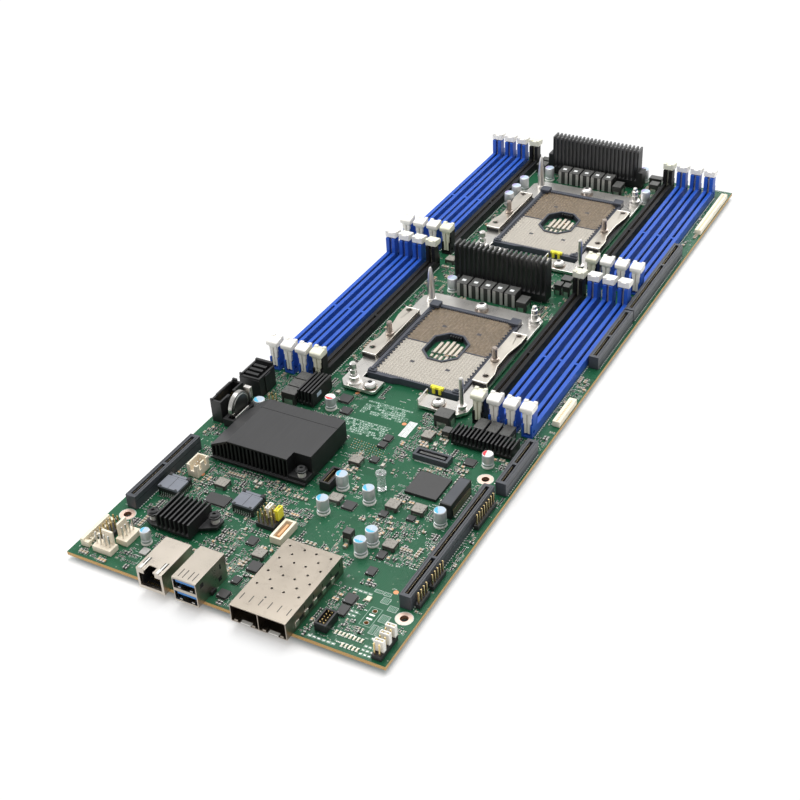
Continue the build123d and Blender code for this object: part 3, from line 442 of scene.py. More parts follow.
class Shape:
    """A piece under construction, in board millimetres."""

    def __init__(self, *finishes):
        self.mesh = bmesh.new()
        self.finishes = list(finishes)

    def paint(self, faces, name):
        if name not in self.finishes:
            self.finishes.append(name)
        index = self.finishes.index(name)
        for face in faces:
            face.material_index = index

    def face(self, points, name=None):
        made = self.mesh.faces.new([self.mesh.verts.new(at(*point)) for point in points])
        if name:
            self.paint([made], name)
        return made

    def round_edges(self, edges, bevel):
        bmesh.ops.bevel(
            self.mesh,
            geom=list(edges),
            offset=bevel * MM,
            segments=2,
            profile=0.5,
            affect="EDGES",
            material=-1,
            clamp_overlap=True,
        )

    def block(self, x0, x1, y0, y1, z0, z1, name, bevel=0.0, turn=0.0):
        """A block between two opposite corners, turned about its own middle."""
        middle = at((x0 + x1) / 2, (y0 + y1) / 2, (z0 + z1) / 2)
        turned = Matrix.Rotation(math.radians(turn), 4, "Z")
        sizes = [abs(b - a) * MM for a, b in ((x0, x1), (y0, y1), (z0, z1))]
        placed = Matrix.Translation(middle) @ turned @ Matrix.Diagonal((*sizes, 1.0))
        made = bmesh.ops.create_cube(self.mesh, size=1.0, matrix=placed)["verts"]
        self.paint({face for vert in made for face in vert.link_faces}, name)
        if bevel:
            self.round_edges({edge for vert in made for edge in vert.link_edges}, bevel)

    def blocks(self, name, bevel, *boxes):
        for box in boxes:
            self.block(*box, name, bevel)

    def post(self, x, y, half_x, half_y, z0, z1, name, bevel=0.0, turn=0.0):
        """A block that stands on its middle x and y."""
        self.block(x - half_x, x + half_x, y - half_y, y + half_y, z0, z1, name, bevel, turn)

    def sheet(self, x0, x1, y0, y1, z, name):
        self.face([(x0, y0, z), (x1, y0, z), (x1, y1, z), (x0, y1, z)], name)

    def frame(self, x0, x1, y0, y1, z, width, name):
        self.sheet(x0, x1, y0, y0 + width, z, name)
        self.sheet(x0, x1, y1 - width, y1, z, name)
        self.sheet(x0, x0 + width, y0 + width, y1 - width, z, name)
        self.sheet(x1 - width, x1, y0 + width, y1 - width, z, name)

    def disc(self, x, y, r, z, name, hole=0.0, steps=24):
        if not hole:
            placed = Matrix.Translation(at(x, y, z))
            made = bmesh.ops.create_circle(
                self.mesh, cap_ends=True, segments=steps, radius=r * MM, matrix=placed
            )
            self.paint({face for vert in made["verts"] for face in vert.link_faces}, name)
            return
        turns = [2 * math.pi * step / steps for step in range(steps)]
        inner, outer = (
            [self.mesh.verts.new(at(x + reach * math.cos(a), y + reach * math.sin(a), z)) for a in turns]
            for reach in (hole, r)
        )
        for step in range(steps):
            corners = (inner[step - 1], outer[step - 1], outer[step], inner[step])
            self.paint([self.mesh.faces.new(corners)], name)

    def turned(self, x, y, profile, name, steps=24):
        """Spins a profile of (radius, height) about an upright axis."""
        return self.spun([at(x + r, y, z) for r, z in profile], at(x, y), (0, 0, 1), name, steps)

    def spun(self, line, centre, axis, name, steps):
        known_faces, known_verts = set(self.mesh.faces), set(self.mesh.verts)
        verts = [self.mesh.verts.new(point) for point in line]
        edges = [self.mesh.edges.new(pair) for pair in zip(verts, verts[1:])]
        bmesh.ops.spin(
            self.mesh,
            geom=verts + edges,
            cent=centre,
            axis=axis,
            angle=2 * math.pi,
            steps=steps,
            use_merge=True,
        )
        fresh = [vert for vert in self.mesh.verts if vert not in known_verts]
        bmesh.ops.remove_doubles(self.mesh, verts=fresh, dist=0.002 * MM)
        faces = [face for face in self.mesh.faces if face not in known_faces]
        bmesh.ops.recalc_face_normals(self.mesh, faces=faces)
        self.paint(faces, name)
        for face in faces:
            face.smooth = True
        for edge in {edge for face in faces for edge in face.edges}:
            edge.smooth = edge.calc_face_angle(0.0) < math.radians(28)
        return faces

    def prism(self, points, z0, z1, name):
        self.thicken([(x, y, z0) for x, y in points], (0, 0, z1 - z0), name)

    def strip(self, x0, x1, points, name, bevel):
        """A side view of (y, z) points, carried across from x0 to x1."""
        self.thicken([(x0, y, z) for y, z in points], (x1 - x0, 0, 0), name, bevel)

    def thicken(self, points, way, name, bevel=0.0):
        out = bmesh.ops.extrude_face_region(self.mesh, geom=[self.face(points)])["geom"]
        moved = [item for item in out if isinstance(item, bmesh.types.BMVert)]
        bmesh.ops.translate(self.mesh, verts=moved, vec=Vector(way) * MM)
        around = {side for vert in moved for side in vert.link_faces}
        around |= {side for near in list(around) for edge in near.edges for side in edge.link_faces}
        self.paint(around, name)
        bmesh.ops.recalc_face_normals(self.mesh, faces=list(around))
        if bevel:
            self.round_edges({edge for side in around for edge in side.edges}, bevel)

    def piece(self, name, body="board", stands_for=(), outward=True):
        if outward:
            bmesh.ops.recalc_face_normals(self.mesh, faces=self.mesh.faces[:])
        data = bpy.data.meshes.new(name)
        self.mesh.to_mesh(data)
        self.mesh.free()
        for item in self.finishes:
            data.materials.append(finish(item))
        made = bpy.data.objects.new(name, data)
        bpy.context.scene.collection.objects.link(made)
        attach(made, body)
        if stands_for:
            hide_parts(*stands_for)


def islands(node):
    """Each loose solid of a CAD node: its box in board millimetres and its polygons."""
    mesh = node.data
    keys = [tuple(round(value, 6) for value in vert.co) for vert in mesh.vertices]
    parent = {key: key for key in keys}

    def root(key):
        while parent[key] != key:
            parent[key] = parent[parent[key]]
            key = parent[key]
        return key

    for face in mesh.polygons:
        first = root(keys[face.vertices[0]])
        for index in face.vertices[1:]:
            parent[root(keys[index])] = first
    groups = {}
    for face in mesh.polygons:
        groups.setdefault(root(keys[face.vertices[0]]), []).append(face)
    found = []
    for faces in groups.values():
        points = [mesh.vertices[index].co for face in faces for index in face.vertices]
        box = []
        for axis, low in enumerate((board_low.x, board_low.y, board_high.z)):
            values = [(point[axis] - low) / MM for point in points]
            box += [min(values), max(values)]
        found.append((tuple(box), faces))
    return sorted(found, key=lambda item: item[0])


def soften(node, width):
    """Joins a node's loose triangles and rounds its edges, as modifiers."""
    weld = node.modifiers.new("weld", "WELD")
    weld.merge_threshold = 0.001 * MM
    bevel = node.modifiers.new("bevel", "BEVEL")
    bevel.width = width * MM
    bevel.segments = 2
    bevel.limit_method = "ANGLE"
    bevel.angle_limit = math.radians(35)
    bevel.use_clamp_overlap = True


# ---- sizes and colours that a user may change


class BoardSettings(bpy.types.PropertyGroup):
    small_parts: bpy.props.IntProperty(
        name="Small parts", description="How many small surface parts are scattered", default=4000, min=0
    )
    seed: bpy.props.IntProperty(name="Seed", description="Where the scattered parts fall", default=11)
    edge_rounding: bpy.props.FloatProperty(
        name="Edge rounding",
        description="Scales the rounding of every moulded and cut edge",
        default=1.0,
        min=0.1,
        subtype="FACTOR",
    )
    pin_height: bpy.props.FloatProperty(
        name="Header pin height",
        description="How far the fan header pins rise above the board",
        default=10.0 * MM,
        subtype="DISTANCE",
        unit="LENGTH",
    )


class StageSettings(bpy.types.PropertyGroup):
    floor_colour: bpy.props.FloatVectorProperty(
        name="Floor colour",
        description="Colour of the floor",
        subtype="COLOR",
        size=3,
        default=(0.93, 0.93, 0.93),
        min=0.0,
        max=1.0,
    )
    lamp_power: bpy.props.FloatProperty(
        name="Lamp power", description="Power of the large overhead lamp", default=10.0, unit="POWER"
    )
    surround: bpy.props.FloatProperty(
        name="Surround",
        description="Strength of the even light from all round",
        default=0.62,
        subtype="FACTOR",
    )


# ---- finishes of the CAD nodes, with the rounding of their edges

NODE_FINISHES = {
    "pcb": ("green_mask", 0.0),
    "dimm_sockets_blue": ("blue_plastic", 0.28),
    "dimm_sockets_black": ("socket_black", 0.28),
    "socket_rims": ("slate_plastic", 0.35),
    "contact_fields": ("contact_bed", 0.0),
    "bolster_plates": ("plated_steel", 0.25),
    "leaf_springs": ("spring_steel", 0.2),
    "guide_posts": ("screw_steel", 0.3),
    "back_plates": ("plated_steel", 0.3),
    "chip_heatsinks": ("anodised", 0.15),
    "regulator_heatsinks": ("anodised_tall", 0.12),
    "fasteners": ("screw_steel", 0.25),
    "chokes": ("ferrite", 0.3),
    "capacitor_cans": ("can_metal", 0.3),
    "card_slots": ("charcoal_plastic", 0.2),
    "power_connectors": ("black_plastic", 0.2),
    "battery_holder": ("black_plastic", 0.2),
    "coin_cell": ("cell_steel", 0.4),
    "network_jack": ("jack_steel", 0.15),
    "usb_stack": ("usb_steel", 0.15),
    "module_cage": ("tin_shell", 0.08),
    "wire_headers": ("ivory_plastic", 0.2),
    "pin_headers": ("header_black", 0.06),
    "jumper_shunts": ("white_plastic", 0.2),
    "flash_sockets": ("black_plastic", 0.12),
    "flash_lid_left": ("lid_plastic", 0.15),
    "flash_lid_right": ("lid_plastic", 0.15),
    "chips": ("chip_epoxy", 0.08),
}
# single solids with a finish of their own, by the ground (x0, x1, y0, y1) that they stand on
ISLAND_FINISHES = (
    ("chokes", (26.0, 37.0, 146.0, 170.0), "ferrite_dark"),
    ("chokes", (119.0, 157.0, 153.0, 172.0), "ferrite_dark"),
    ("chokes", (111.0, 122.0, 162.0, 172.0), "ferrite_dark"),
    ("chokes", (115.0, 121.0, 60.0, 67.0), "ferrite_dark"),
    ("chokes", (56.0, 128.0, 280.0, 330.0), "ferrite_dark"),
    ("chokes", (36.0, 130.0, 440.0, 478.0), "ferrite_dark"),
    ("card_slots", (133.0, 141.0, 5.0, 18.0), "black_plastic"),
    ("card_slots", (84.0, 92.0, 90.0, 106.0), "black_plastic"),
    ("card_slots", (147.0, 156.0, 97.0, 121.0), "black_plastic"),
    ("wire_headers", (2.0, 9.0, 5.0, 30.0), "cream_plastic"),
    ("wire_headers", (84.0, 91.0, 46.0, 62.0), "cream_plastic"),
    ("wire_headers", (167.0, 173.0, 180.0, 480.0), "cream_plastic"),
)


def paint_islands(name, node):
    """Gives single solids of a node another finish, by where they stand."""
    rules = [rule[1:] for rule in ISLAND_FINISHES if rule[0] == name]
    for box, faces in islands(node) if rules else ():
        x, y = (box[0] + box[1]) / 2, (box[2] + box[3]) / 2
        for (x0, x1, y0, y1), chosen in rules:
            if x0 < x < x1 and y0 < y < y1:
                if finish(chosen).name not in node.data.materials:
                    node.data.materials.append(finish(chosen))
                index = list(node.data.materials).index(finish(chosen))
                for face in faces:
                    face.material_index = index


class BOARD_OT_finish_nodes(bpy.types.Operator):
    """Gives every CAD node its finish and rounds its edges"""

    bl_idname = "board.finish_nodes"
    bl_label = "Finish the CAD nodes"

    def execute(self, context):
        scale = context.scene.board_settings.edge_rounding
        for name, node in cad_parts.items():
            if name.startswith("latch_"):
                continue
            chosen, rounding = NODE_FINISHES[name]
            node.data.materials.clear()
            node.data.materials.append(finish(chosen))
            for face in node.data.polygons:
                face.use_smooth = False
            paint_islands(name, node)
            if rounding:
                soften(node, rounding * scale)
        return {"FINISHED"}


# ---- latches

# a latch in layers: left and right side, side view of (y, z) points and rounding
LATCH_PARTS = (
    (-1.66, 1.66, ((1.3, 2.3), (1.3, 15.8), (3.8, 15.8), (3.8, 5.2), (4.2, 4.6), (4.2, 2.3)), 0.18),
    (-1.62, -0.3, ((0.35, 2.6), (0.35, 8.7), (1.4, 8.7), (1.4, 2.6)), 0.1),
    (-2.12, -0.3, ((0.06, 8.7), (0.06, 12.2), (1.4, 12.2), (1.4, 8.7)), 0.1),
    (-2.45, -0.3, ((0.0, 12.2), (0.0, 15.2), (1.4, 15.2), (1.4, 12.2)), 0.1),
    (0.3, 1.62, ((0.35, 2.6), (0.35, 8.7), (1.4, 8.7), (1.4, 2.6)), 0.1),
    (0.3, 2.12, ((0.06, 8.7), (0.06, 12.2), (1.4, 12.2), (1.4, 8.7)), 0.1),
    (0.3, 2.45, ((0.0, 12.2), (0.0, 15.2), (1.4, 15.2), (1.4, 12.2)), 0.1),
    (-2.48, 2.48, ((0.0, 14.6), (-0.5, 15.4), (-0.9, 16.2), (1.02, 16.2), (1.02, 14.6)), 0.1),
    (-3.5, 3.5, (
        (-0.5, 15.75), (-1.25, 16.6), (-1.3, 18.3), (-0.8, 18.9), (2.4, 19.5), (6.1, 19.2), (6.1, 16.0),
        (4.2, 15.75),
    ), 0.14),
    (-3.55, -1.5, ((3.4, 18.9), (4.3, 20.1), (6.1, 20.0), (6.1, 18.9)), 0.16),
    (1.5, 3.55, ((3.4, 18.9), (4.3, 20.1), (6.1, 20.0), (6.1, 18.9)), 0.16),
    (-0.3, 0.3, ((-1.3, 16.9), (-1.3, 18.2), (-1.2, 18.2), (-1.2, 16.9)), 0.0),
)


class BOARD_OT_make_latches(bpy.types.Operator):
    """Makes the thirty-two memory socket latches, each on its own body"""

    bl_idname = "board.make_latches"
    bl_label = "Make the latches"

    def execute(self, context):
        for number, (x, y, black) in enumerate(sockets(), start=1):
            colour = "waxy_plastic" if black else "white_plastic"
            for end, start, way in (("front", y, 1), ("rear", y + SOCKET_L, -1)):
                node = f"latch_{number:02d}_{end}"
                shape = Shape(colour)
                for x0, x1, side_view, bevel in LATCH_PARTS:
                    placed = [(start + way * py, pz) for py, pz in side_view]
                    shape.strip(x + x0, x + x1, placed, colour, bevel)
                shape.piece(f"{node}_shape", node, (node,))
        return {"FINISHED"}


# ---- print and pads on the board

PRINTED_BOXES = (
    (145.6, 149.6, 38.6, 40.6),
    (150.2, 154.0, 38.4, 40.6),
    (151.4, 155.4, 33.6, 37.4),
    (156.6, 161.0, 30.4, 33.8),
    (156.2, 160.6, 22.6, 27.4),
    (155.8, 158.4, 14.4, 20.2),
    (159.0, 161.6, 14.4, 20.2),
    (162.0, 164.2, 9.0, 14.0),
)
# rows of empty outlines: left and right end, y and count
PRINTED_ROWS = (
    (132.6, 147.0, 1.6, 6),
    (136.4, 146.4, 35.6, 4),
    (158.4, 164.6, 1.6, 3),
    (158.4, 164.6, 4.0, 3),
    (158.4, 164.6, 6.4, 3),
    (159.0, 163.8, 11.6, 2),
    (141.6, 146.4, 20.4, 2),
    (141.6, 146.4, 22.8, 2),
)


def print_outlines(shape):
    """Hatched boxes and empty part outlines near the front right corner."""
    for x0, x1, y0, y1 in PRINTED_BOXES:
        shape.frame(x0, x1, y0, y1, GAP, 0.2, "ink_white")
        x = x0 + 0.6
        while x < x1 - 0.5:
            shape.sheet(x, x + 0.22, y0 + 0.5, y1 - 0.5, GAP, "ink_pale")
            x += 0.75
    for x0, x1, y, count in PRINTED_ROWS:
        step = (x1 - x0) / count
        for number in range(count):
            x = x0 + number * step
            shape.frame(x, x + step - 0.45, y, y + 1.5, GAP, 0.16, "ink_pale")
            shape.sheet(x + 0.3, x + step - 0.75, y + 0.5, y + 1.0, GAP, "solder_tin")


def print_footprints(shape):
    """Two unfilled fields of pads and outlines in front of the first processor."""
    rng = random.Random(5)
    row_pitch = 1.7
    for x0, x1, y0, y1 in ((70.0, 97.0, 157.5, 169.5), (66.5, 93.5, 139.5, 152.5)):
        for row in range(int((y1 - y0) / row_pitch)):
            x, y = x0, y0 + row * row_pitch
            while x < x1 - 2.0:
                wide = rng.choice((1.4, 1.9, 2.6))
                if rng.random() < 0.8:
                    shape.frame(x, x + wide, y, y + 1.25, GAP, 0.16, "ink_pale")
                    if rng.random() < 0.7:
                        for left in (x + 0.25, x + wide - 0.6):
                            shape.sheet(left, left + 0.35, y + 0.3, y + 0.95, GAP, "ink_white")
                x += wide + 0.45
    for number in range(14):
        for row in range(5):
            x, y = 80.0 + number * 1.45 + row * 0.35, 135.2 - row * 1.75 - number * 0.1
            ink = "copper_dot" if (number + row) % 3 == 0 else "solder_tin"
            shape.disc(x, y, 0.24, GAP, ink, steps=8)


def solder_rows(shape):
    """Solder rows beside each memory socket, card slot and the mezzanine socket."""
    for x, y, _ in sockets():
        for side in SIDES:
            edge = x + side * 3.75
            shape.sheet(edge - 0.35, edge + 0.35, y + 2.0, y + 140.0, GAP, "pin_tails_y")
    for x, y0, y1, _ in CARD_SLOTS:
        for side in SIDES:
            edge = x + side * 3.3
            shape.sheet(edge - 0.25, edge + 0.25, y0 + 1.4, y1 - 1.4, GAP, "pin_tails_y")
    for y in (131.7, 139.9):
        shape.sheet(116.6, 133.4, y, y + 0.9, GAP, "pin_tails_x")


class BOARD_OT_print_board(bpy.types.Operator):
    """Lays the rings, pads, printed outlines and solder rows on the board"""

    bl_idname = "board.print_board"
    bl_label = "Print the board"

    def execute(self, context):
        shape = Shape("ink_white")
        for x, y in MOUNT_HOLES:
            # copper plating inside each mount hole, darkened to near-black brown as painted shade
            lining = [(1.99, -1.98), (1.95, -1.98), (1.95, GAP), (1.99, GAP), (1.99, -1.98)]
            shape.turned(x, y, lining, "hole_lining", 36)
            shape.disc(x, y, 3.9, GAP, "copper_ring", hole=2.0, steps=36)
            shape.disc(x, y, 4.25, GAP, "ink_white", hole=3.95, steps=36)
        for y in (27.6, 19.8):
            shape.disc(152.2, y, 1.3, GAP, "joint_tin", hole=1.1)
        for y in (22.4, 25.0):
            shape.sheet(150.8, 153.6, y - 0.4, y + 0.5, GAP, "solder_tin")
        shape.frame(149.4, 155.2, 17.6, 29.8, GAP, 0.2, "ink_pale")
        for x, y in ((154.8, 42.4), (24.6, 76.6), (97.2, 157.4), (60.4, 172.0)):
            shape.disc(x, y, 1.25, GAP, "copper_dot")
        for number in range(14):
            shape.sheet(99.0, 103.6, 147.0 + number, 147.72 + number, GAP, "label_white")
        for x in (99.0, 101.2, 103.3):
            shape.sheet(x, x + 0.3, 147.0, 160.7, 1.3 * GAP, "label_white")
        print_outlines(shape)
        print_footprints(shape)
        solder_rows(shape)
        shape.piece("printed_marks", outward=False)
        return {"FINISHED"}


# ---- scattered small parts

PER_PIECE = 150
# length, width and height of the small parts and of the larger capacitors
SMALL_SIZES = ((0.8, 0.45, 0.35), (1.1, 0.55, 0.4), (1.1, 0.55, 0.4), (1.6, 0.85, 0.6), (2.1, 1.25, 0.9))
CHOKE_CAPACITOR = (2.1, 1.3, 1.1)
TALL_CAPACITOR = (2.6, 1.8, 1.5)
SMALL_COLOURS = ("resistor_black", "resistor_black", "resistor_black", "capacitor_tan")
LARGE_COLOURS = ("resistor_black", "resistor_black", "capacitor_tan", "capacitor_tan", "capacitor_orange")
TALL_CAPACITORS = (
    (114.2, 147.6), (117.6, 147.2), (121.0, 146.8), (96.2, 122.2), (98.0, 118.6), (101.8, 121.4),
    (104.8, 120.6), (118.6, 59.4), (121.0, 58.8), (51.2, 167.6), (54.4, 171.4), (57.6, 171.6),
    (60.4, 180.8), (63.8, 181.0), (53.4, 82.0), (56.4, 81.8),
)
# ground (x0, x1, y0, y1) without small parts
KEPT_CLEAR = (
    (4.6, 13.6, 30.0, 39.0),
    (161.4, 170.6, 24.6, 33.6),
    (151.4, 160.4, 128.6, 137.6),
    (148.6, 156.0, 16.8, 30.6),
    (98.4, 104.0, 146.4, 161.4),
    (68.0, 98.0, 156.0, 171.0),
    (65.0, 95.0, 138.0, 154.0),
    (78.0, 100.0, 126.0, 136.0),
    (0.0, 3.0, 0.0, 480.0),
    (31.8, 37.0, 12.6, 18.4),
    (94.0, 103.0, 61.0, 90.0),
    (142.4, 157.8, 1.4, 10.8),
    (145.4, 154.4, 38.2, 41.0),
    (151.0, 161.4, 30.0, 37.8),
    (155.4, 164.6, 9.0, 27.8),
    (132.4, 147.2, 1.4, 3.4),
    (158.2, 164.8, 1.4, 8.2),
    (136.2, 146.6, 35.4, 37.4),
    (141.4, 146.6, 20.2, 24.6),
)
# ground (x0, y0, x1, y1) that is nearly bare in the photograph
BARE_GROUND = (
    (92.0, 55.0, 125.0, 82.0),
    (66.0, 128.0, 104.0, 171.0),
    (126.5, 12.0, 131.0, 57.0),
    (128.0, 36.0, 160.0, 57.0),
    (99.0, 98.0, 123.0, 131.0),
    (140.0, 28.0, 160.0, 44.0),
    (20.0, 0.0, 46.0, 6.0),
)


def bare(x, y):
    return any(x0 < x < x1 and y0 < y < y1 for x0, y0, x1, y1 in BARE_GROUND)


def cells_of(x0, x1, y0, y1):
    """The whole square millimetres of a rectangle."""
    return {(x, y) for x in range(int(x0), int(x1) + 1) for y in range(int(y0), int(y1) + 1)}


def cells_near(x, y, reach_x, reach_y):
    steps = (-1, 0, 1)
    return {(int(x + sx * reach_x), int(y + sy * reach_y)) for sx in steps for sy in steps}


def taken_ground():
    """Square millimetres of the board that the CAD pieces already cover."""
    cells = set()
    for clear in KEPT_CLEAR:
        cells |= cells_of(*clear)
    limit = board_high.z + 3.2 * MM
    for name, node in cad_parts.items():
        if name in ("pcb", "back_plates"):
            continue
        verts = node.data.vertices
        for face in node.data.polygons:
            corners = [verts[index].co for index in face.vertices]
            if min(corner.z for corner in corners) <= limit:
                xs = [(corner.x - board_low.x) / MM for corner in corners]
                ys = [(corner.y - board_low.y) / MM for corner in corners]
                cells |= cells_of(min(xs) - 0.4, max(xs) + 0.4, min(ys) - 0.4, max(ys) + 0.4)
    return cells


def halves(size, along_x):
    """Half the ground that a small part takes in x and in y."""
    half_x, half_y = size[0] / 2, size[1] / 2
    return (half_x, half_y) if along_x else (half_y, half_x)


def is_free(x, y, along_x, size, taken):
    """Whether a small part has clear ground on the board."""
    half_x, half_y = halves(size, along_x)
    spots = cells_near(x, y, half_x + 0.25, half_y + 0.25)
    return not spots & taken and 1.0 < x < BOARD_W - 1.0 and 1.0 < y < BOARD_L - 1.0


def large_capacitors(taken):
    """The capacitors that stand in short rows, most of them beside a low choke."""
    placed = []
    for number, (x, y) in enumerate(TALL_CAPACITORS):
        body = "capacitor_orange" if number % 3 == 1 else "capacitor_cream"
        if is_free(x, y, False, TALL_CAPACITOR, taken):
            placed.append((x, y, False, TALL_CAPACITOR, body))
            taken |= cells_near(x, y, 1, 1.4)
    for box, _ in islands(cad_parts["chokes"]):
        if box[5] > 5.0:
            continue
        for y in (box[2] - 2.0, box[3] + 2.0, box[2] - 4.4):
            for number in range(4):
                x = box[0] + 0.8 + 1.75 * number
                body = "capacitor_orange" if number % 2 else "capacitor_cream"
                clear = is_free(x, y, False, CHOKE_CAPACITOR, taken)
                if clear and (number + int(box[0]) + int(y)) % 5:
                    placed.append((x, y, False, CHOKE_CAPACITOR, body))
        for x, y, *_ in placed[-12:]:
            taken |= cells_near(x, y, 0.6, 1)
    return placed


def small_rows(rng, wanted, taken):
    """Places, directions, sizes and colours of all the small parts."""
    placed = large_capacitors(taken)
    for _ in range(wanted * 30):
        if len(placed) >= wanted:
            break
        x = rng.uniform(1.5, BOARD_W - 1.5)
        y = rng.uniform(1.5, FRONT_L if rng.random() < 0.55 else BOARD_L - 1.5)
        if bare(x, y) and rng.random() < 0.97:
            continue
        crowd = noise.noise(Vector((x / 11.0, y / 11.0, 3.7)))
        if crowd + rng.uniform(-0.2, 0.2) < 0.0:
            continue
        size = rng.choice(SMALL_SIZES)
        along_x = rng.random() < 0.5
        step = size[1] + rng.choice((0.35, 0.5, 0.9))
        body = rng.choice(SMALL_COLOURS if size[0] < 1.9 else LARGE_COLOURS)
        for number in range(rng.randint(1, 6)):
            px = x if along_x else x + number * step
            py = y + number * step if along_x else y
            if not is_free(px, py, along_x, size, taken):
                break
            taken.add((int(px), int(py)))
            placed.append((px, py, along_x, size, body))
    return placed


def small_part(shape, x, y, along_x, size, body):
    """One end-capped surface part."""
    long, wide, high = size
    cap = long * 0.24
    rows = [(0.0, long - 2 * cap, wide * 0.94, high * 0.92, body)]
    rows += [(side * (long - cap) / 2, cap, wide, high, "joint_tin") for side in SIDES]
    for shift, length, width, height, name in rows:
        if along_x:
            shape.post(x + shift, y, length / 2, width / 2, 0.0, height, name)
        else:
            shape.post(x, y + shift, width / 2, length / 2, 0.0, height, name)


def print_dashes(marks, rng):
    """Short printed strokes, plated via dots and bare pads between the parts."""
    for number in range(2200):
        x = rng.uniform(2, BOARD_W - 4)
        y = rng.uniform(2, FRONT_L if number % 3 else BOARD_L - 3)
        long, ink = rng.uniform(0.5, 2.0), rng.choice(("ink_pale", "ink_white"))
        if bare(x, y) and rng.random() < 0.96:
            continue
        if any(a - 1 < x < b + 1 and c - 1 < y < d + 1 for a, b, c, d in KEPT_CLEAR[:6]):
            continue
        if number % 4 == 0:
            marks.disc(x, y, rng.choice((0.2, 0.28, 0.4)), GAP, "solder_tin", steps=8)
        elif number % 4 == 1:
            marks.sheet(x, x + long, y, y + 0.24, GAP, ink)
        elif number % 4 == 2:
            marks.sheet(x, x + 0.24, y, y + long, GAP, ink)
        else:
            for step in range(rng.randint(2, 5)):
                left = x + step * 0.8
                marks.sheet(left, left + 0.4, y, y + 0.55, GAP, "solder_tin")


class BOARD_OT_place_small_parts(bpy.types.Operator):
    """Scatters resistors and capacitors in short rows over the free ground"""

    bl_idname = "board.place_small_parts"
    bl_label = "Place the small parts"

    def execute(self, context):
        settings = context.scene.board_settings
        rng = random.Random(settings.seed)
        marks = Shape("ink_pale")
        rows = small_rows(rng, settings.small_parts, taken_ground())
        for first in range(0, len(rows), PER_PIECE):
            shape = Shape("resistor_black")
            for row in rows[first : first + PER_PIECE]:
                small_part(shape, *row)
            shape.piece(f"small_parts_{first // PER_PIECE + 1:02d}")
        for x, y, along_x, size, _ in rows:
            if rng.random() < 0.5:
                half_x, half_y = (half + 0.25 for half in halves(size, along_x))
                marks.frame(x - half_x, x + half_x, y - half_y, y + half_y, GAP, 0.13, "ink_pale")
        print_dashes(marks, rng)
        marks.piece("printed_outlines", outward=False)
        return {"FINISHED"}


# ---- capacitor cans

# x, y, ink of the printed half moon and the angle where it starts
CAN_PLACES = (
    (127.6, 58.3, "print_blue", 200),
    (128.9, 66.9, "print_blue", 195),
    (96.0, 77.0, "print_blue", 130),
    (95.0, 97.2, "print_blue", 120),
    (112.4, 93.2, "print_blue", 150),
    (151.6, 92.6, "print_blue", 140),
    (152.4, 143.6, "print_red", 120),
    (54.6, 153.8, "print_red", 200),
    (31.0, 21.6, "print_blue", 120),
    (22.4, 134.0, "print_blue", 160),
    (59.0, 290.6, "print_violet", 100),
    (53.0, 451.6, "print_violet", 100),
    (43.2, 431.2, "print_violet", 100),
    (43.2, 418.2, "print_violet", 100),
    (43.2, 406.6, "print_violet", 100),
    (125.0, 443.4, "print_violet", 100),
    (113.0, 474.2, "print_violet", 100),
)
# radius and height of the cans; the one near the front left corner is smaller
CAN_SIZE, RED_CAN_SIZE, SMALL_CAN_SIZE = (3.12, 9.22), (2.98, 7.7), (2.5, 7.9)
SMALL_CAN_X = 31.0


class BOARD_OT_make_cans(bpy.types.Operator):
    """Turns the capacitor cans with their crimps, feet and printed tops"""

    bl_idname = "board.make_cans"
    bl_label = "Make the cans"

    def execute(self, context):
        shape = Shape("can_metal")
        for x, y, ink, turn in CAN_PLACES:
            red = ink == "print_red"
            r, top = RED_CAN_SIZE if red else SMALL_CAN_SIZE if x == SMALL_CAN_X else CAN_SIZE
            can = [
                (0.0, 1.0), (r - 0.07, 1.0), (r, 1.3), (r, 2.3), (r - 0.32, 2.6), (r - 0.32, 2.9),
                (r, 3.2), (r, top - 0.52), (r - 0.12, top - 0.17), (r - 0.37, top), (0.0, top),
            ]
            foot = [
                (0.0, 0.0), (r + 0.23, 0.0), (r + 0.23, 0.7), (r + 0.06, 0.95), (r - 0.02, 1.0),
                (0.0, 1.0),
            ]
            shape.turned(x, y, can, "can_metal", 28)
            shape.turned(x, y, foot, "white_plastic", 28)
            shape.disc(x, y, r - 0.4, top + 0.02, "white_plastic" if red else "print_pale", steps=28)
            moon = [math.radians(turn + 140 * step / 12) for step in range(13)]
            reach, z = r - 0.45, top + 0.04
            shape.face([(x + reach * math.cos(a), y + reach * math.sin(a), z) for a in moon], ink)
            vent = (x - 0.08, x + 0.08, y - 1.3, y + 1.5, top + 0.02, top + 0.05)
            shape.block(*vent, "solder_tin", turn=turn)
        shape.piece("cans", "board", ("capacitor_cans",))
        return {"FINISHED"}


# ---- insides of the sockets and slots


def slot_linings(shape):
    """Contacts of the memory sockets in dark colours as painted shade deep in the slots, contacts of the
    card slots, and painted shade lines for the grooves in the card slots.
    """
    for x, y, black in sockets():
        # painted shade: the contacts deep in the memory socket slot take dark colours
        lining = "slot_brown" if black else "slot_dark"
        for y0, y1 in ((y + 7.2, y + 65.0), (y + 67.8, y + 134.6)):
            for side in SIDES:
                shape.block(x + side * 0.74, x + side * 0.5, y0, y1, 1.65, 4.6, lining)
    for x, y0, y1, key in CARD_SLOTS:
        for low, high in ((y0 + 2.4, key - 1.2), (key + 1.2, y1 - 2.4)):
            for side in SIDES:
                shape.block(x + side * 0.98, x + side * 0.55, low, high, 1.45, 6.6, "card_contacts")
        middle, half = (y0 + y1) / 2, (y1 - y0) / 2
        # painted shade lines for the grooves along the top and sides of each card slot
        for side in SIDES:
            shape.post(x + side * 2.05, middle, 0.14, half - 1.4, 7.7, 7.83, "dark_gap")
            shape.post(x + side * 2.91, middle, 0.02, half - 1.0, 4.6, 4.9, "dark_gap")


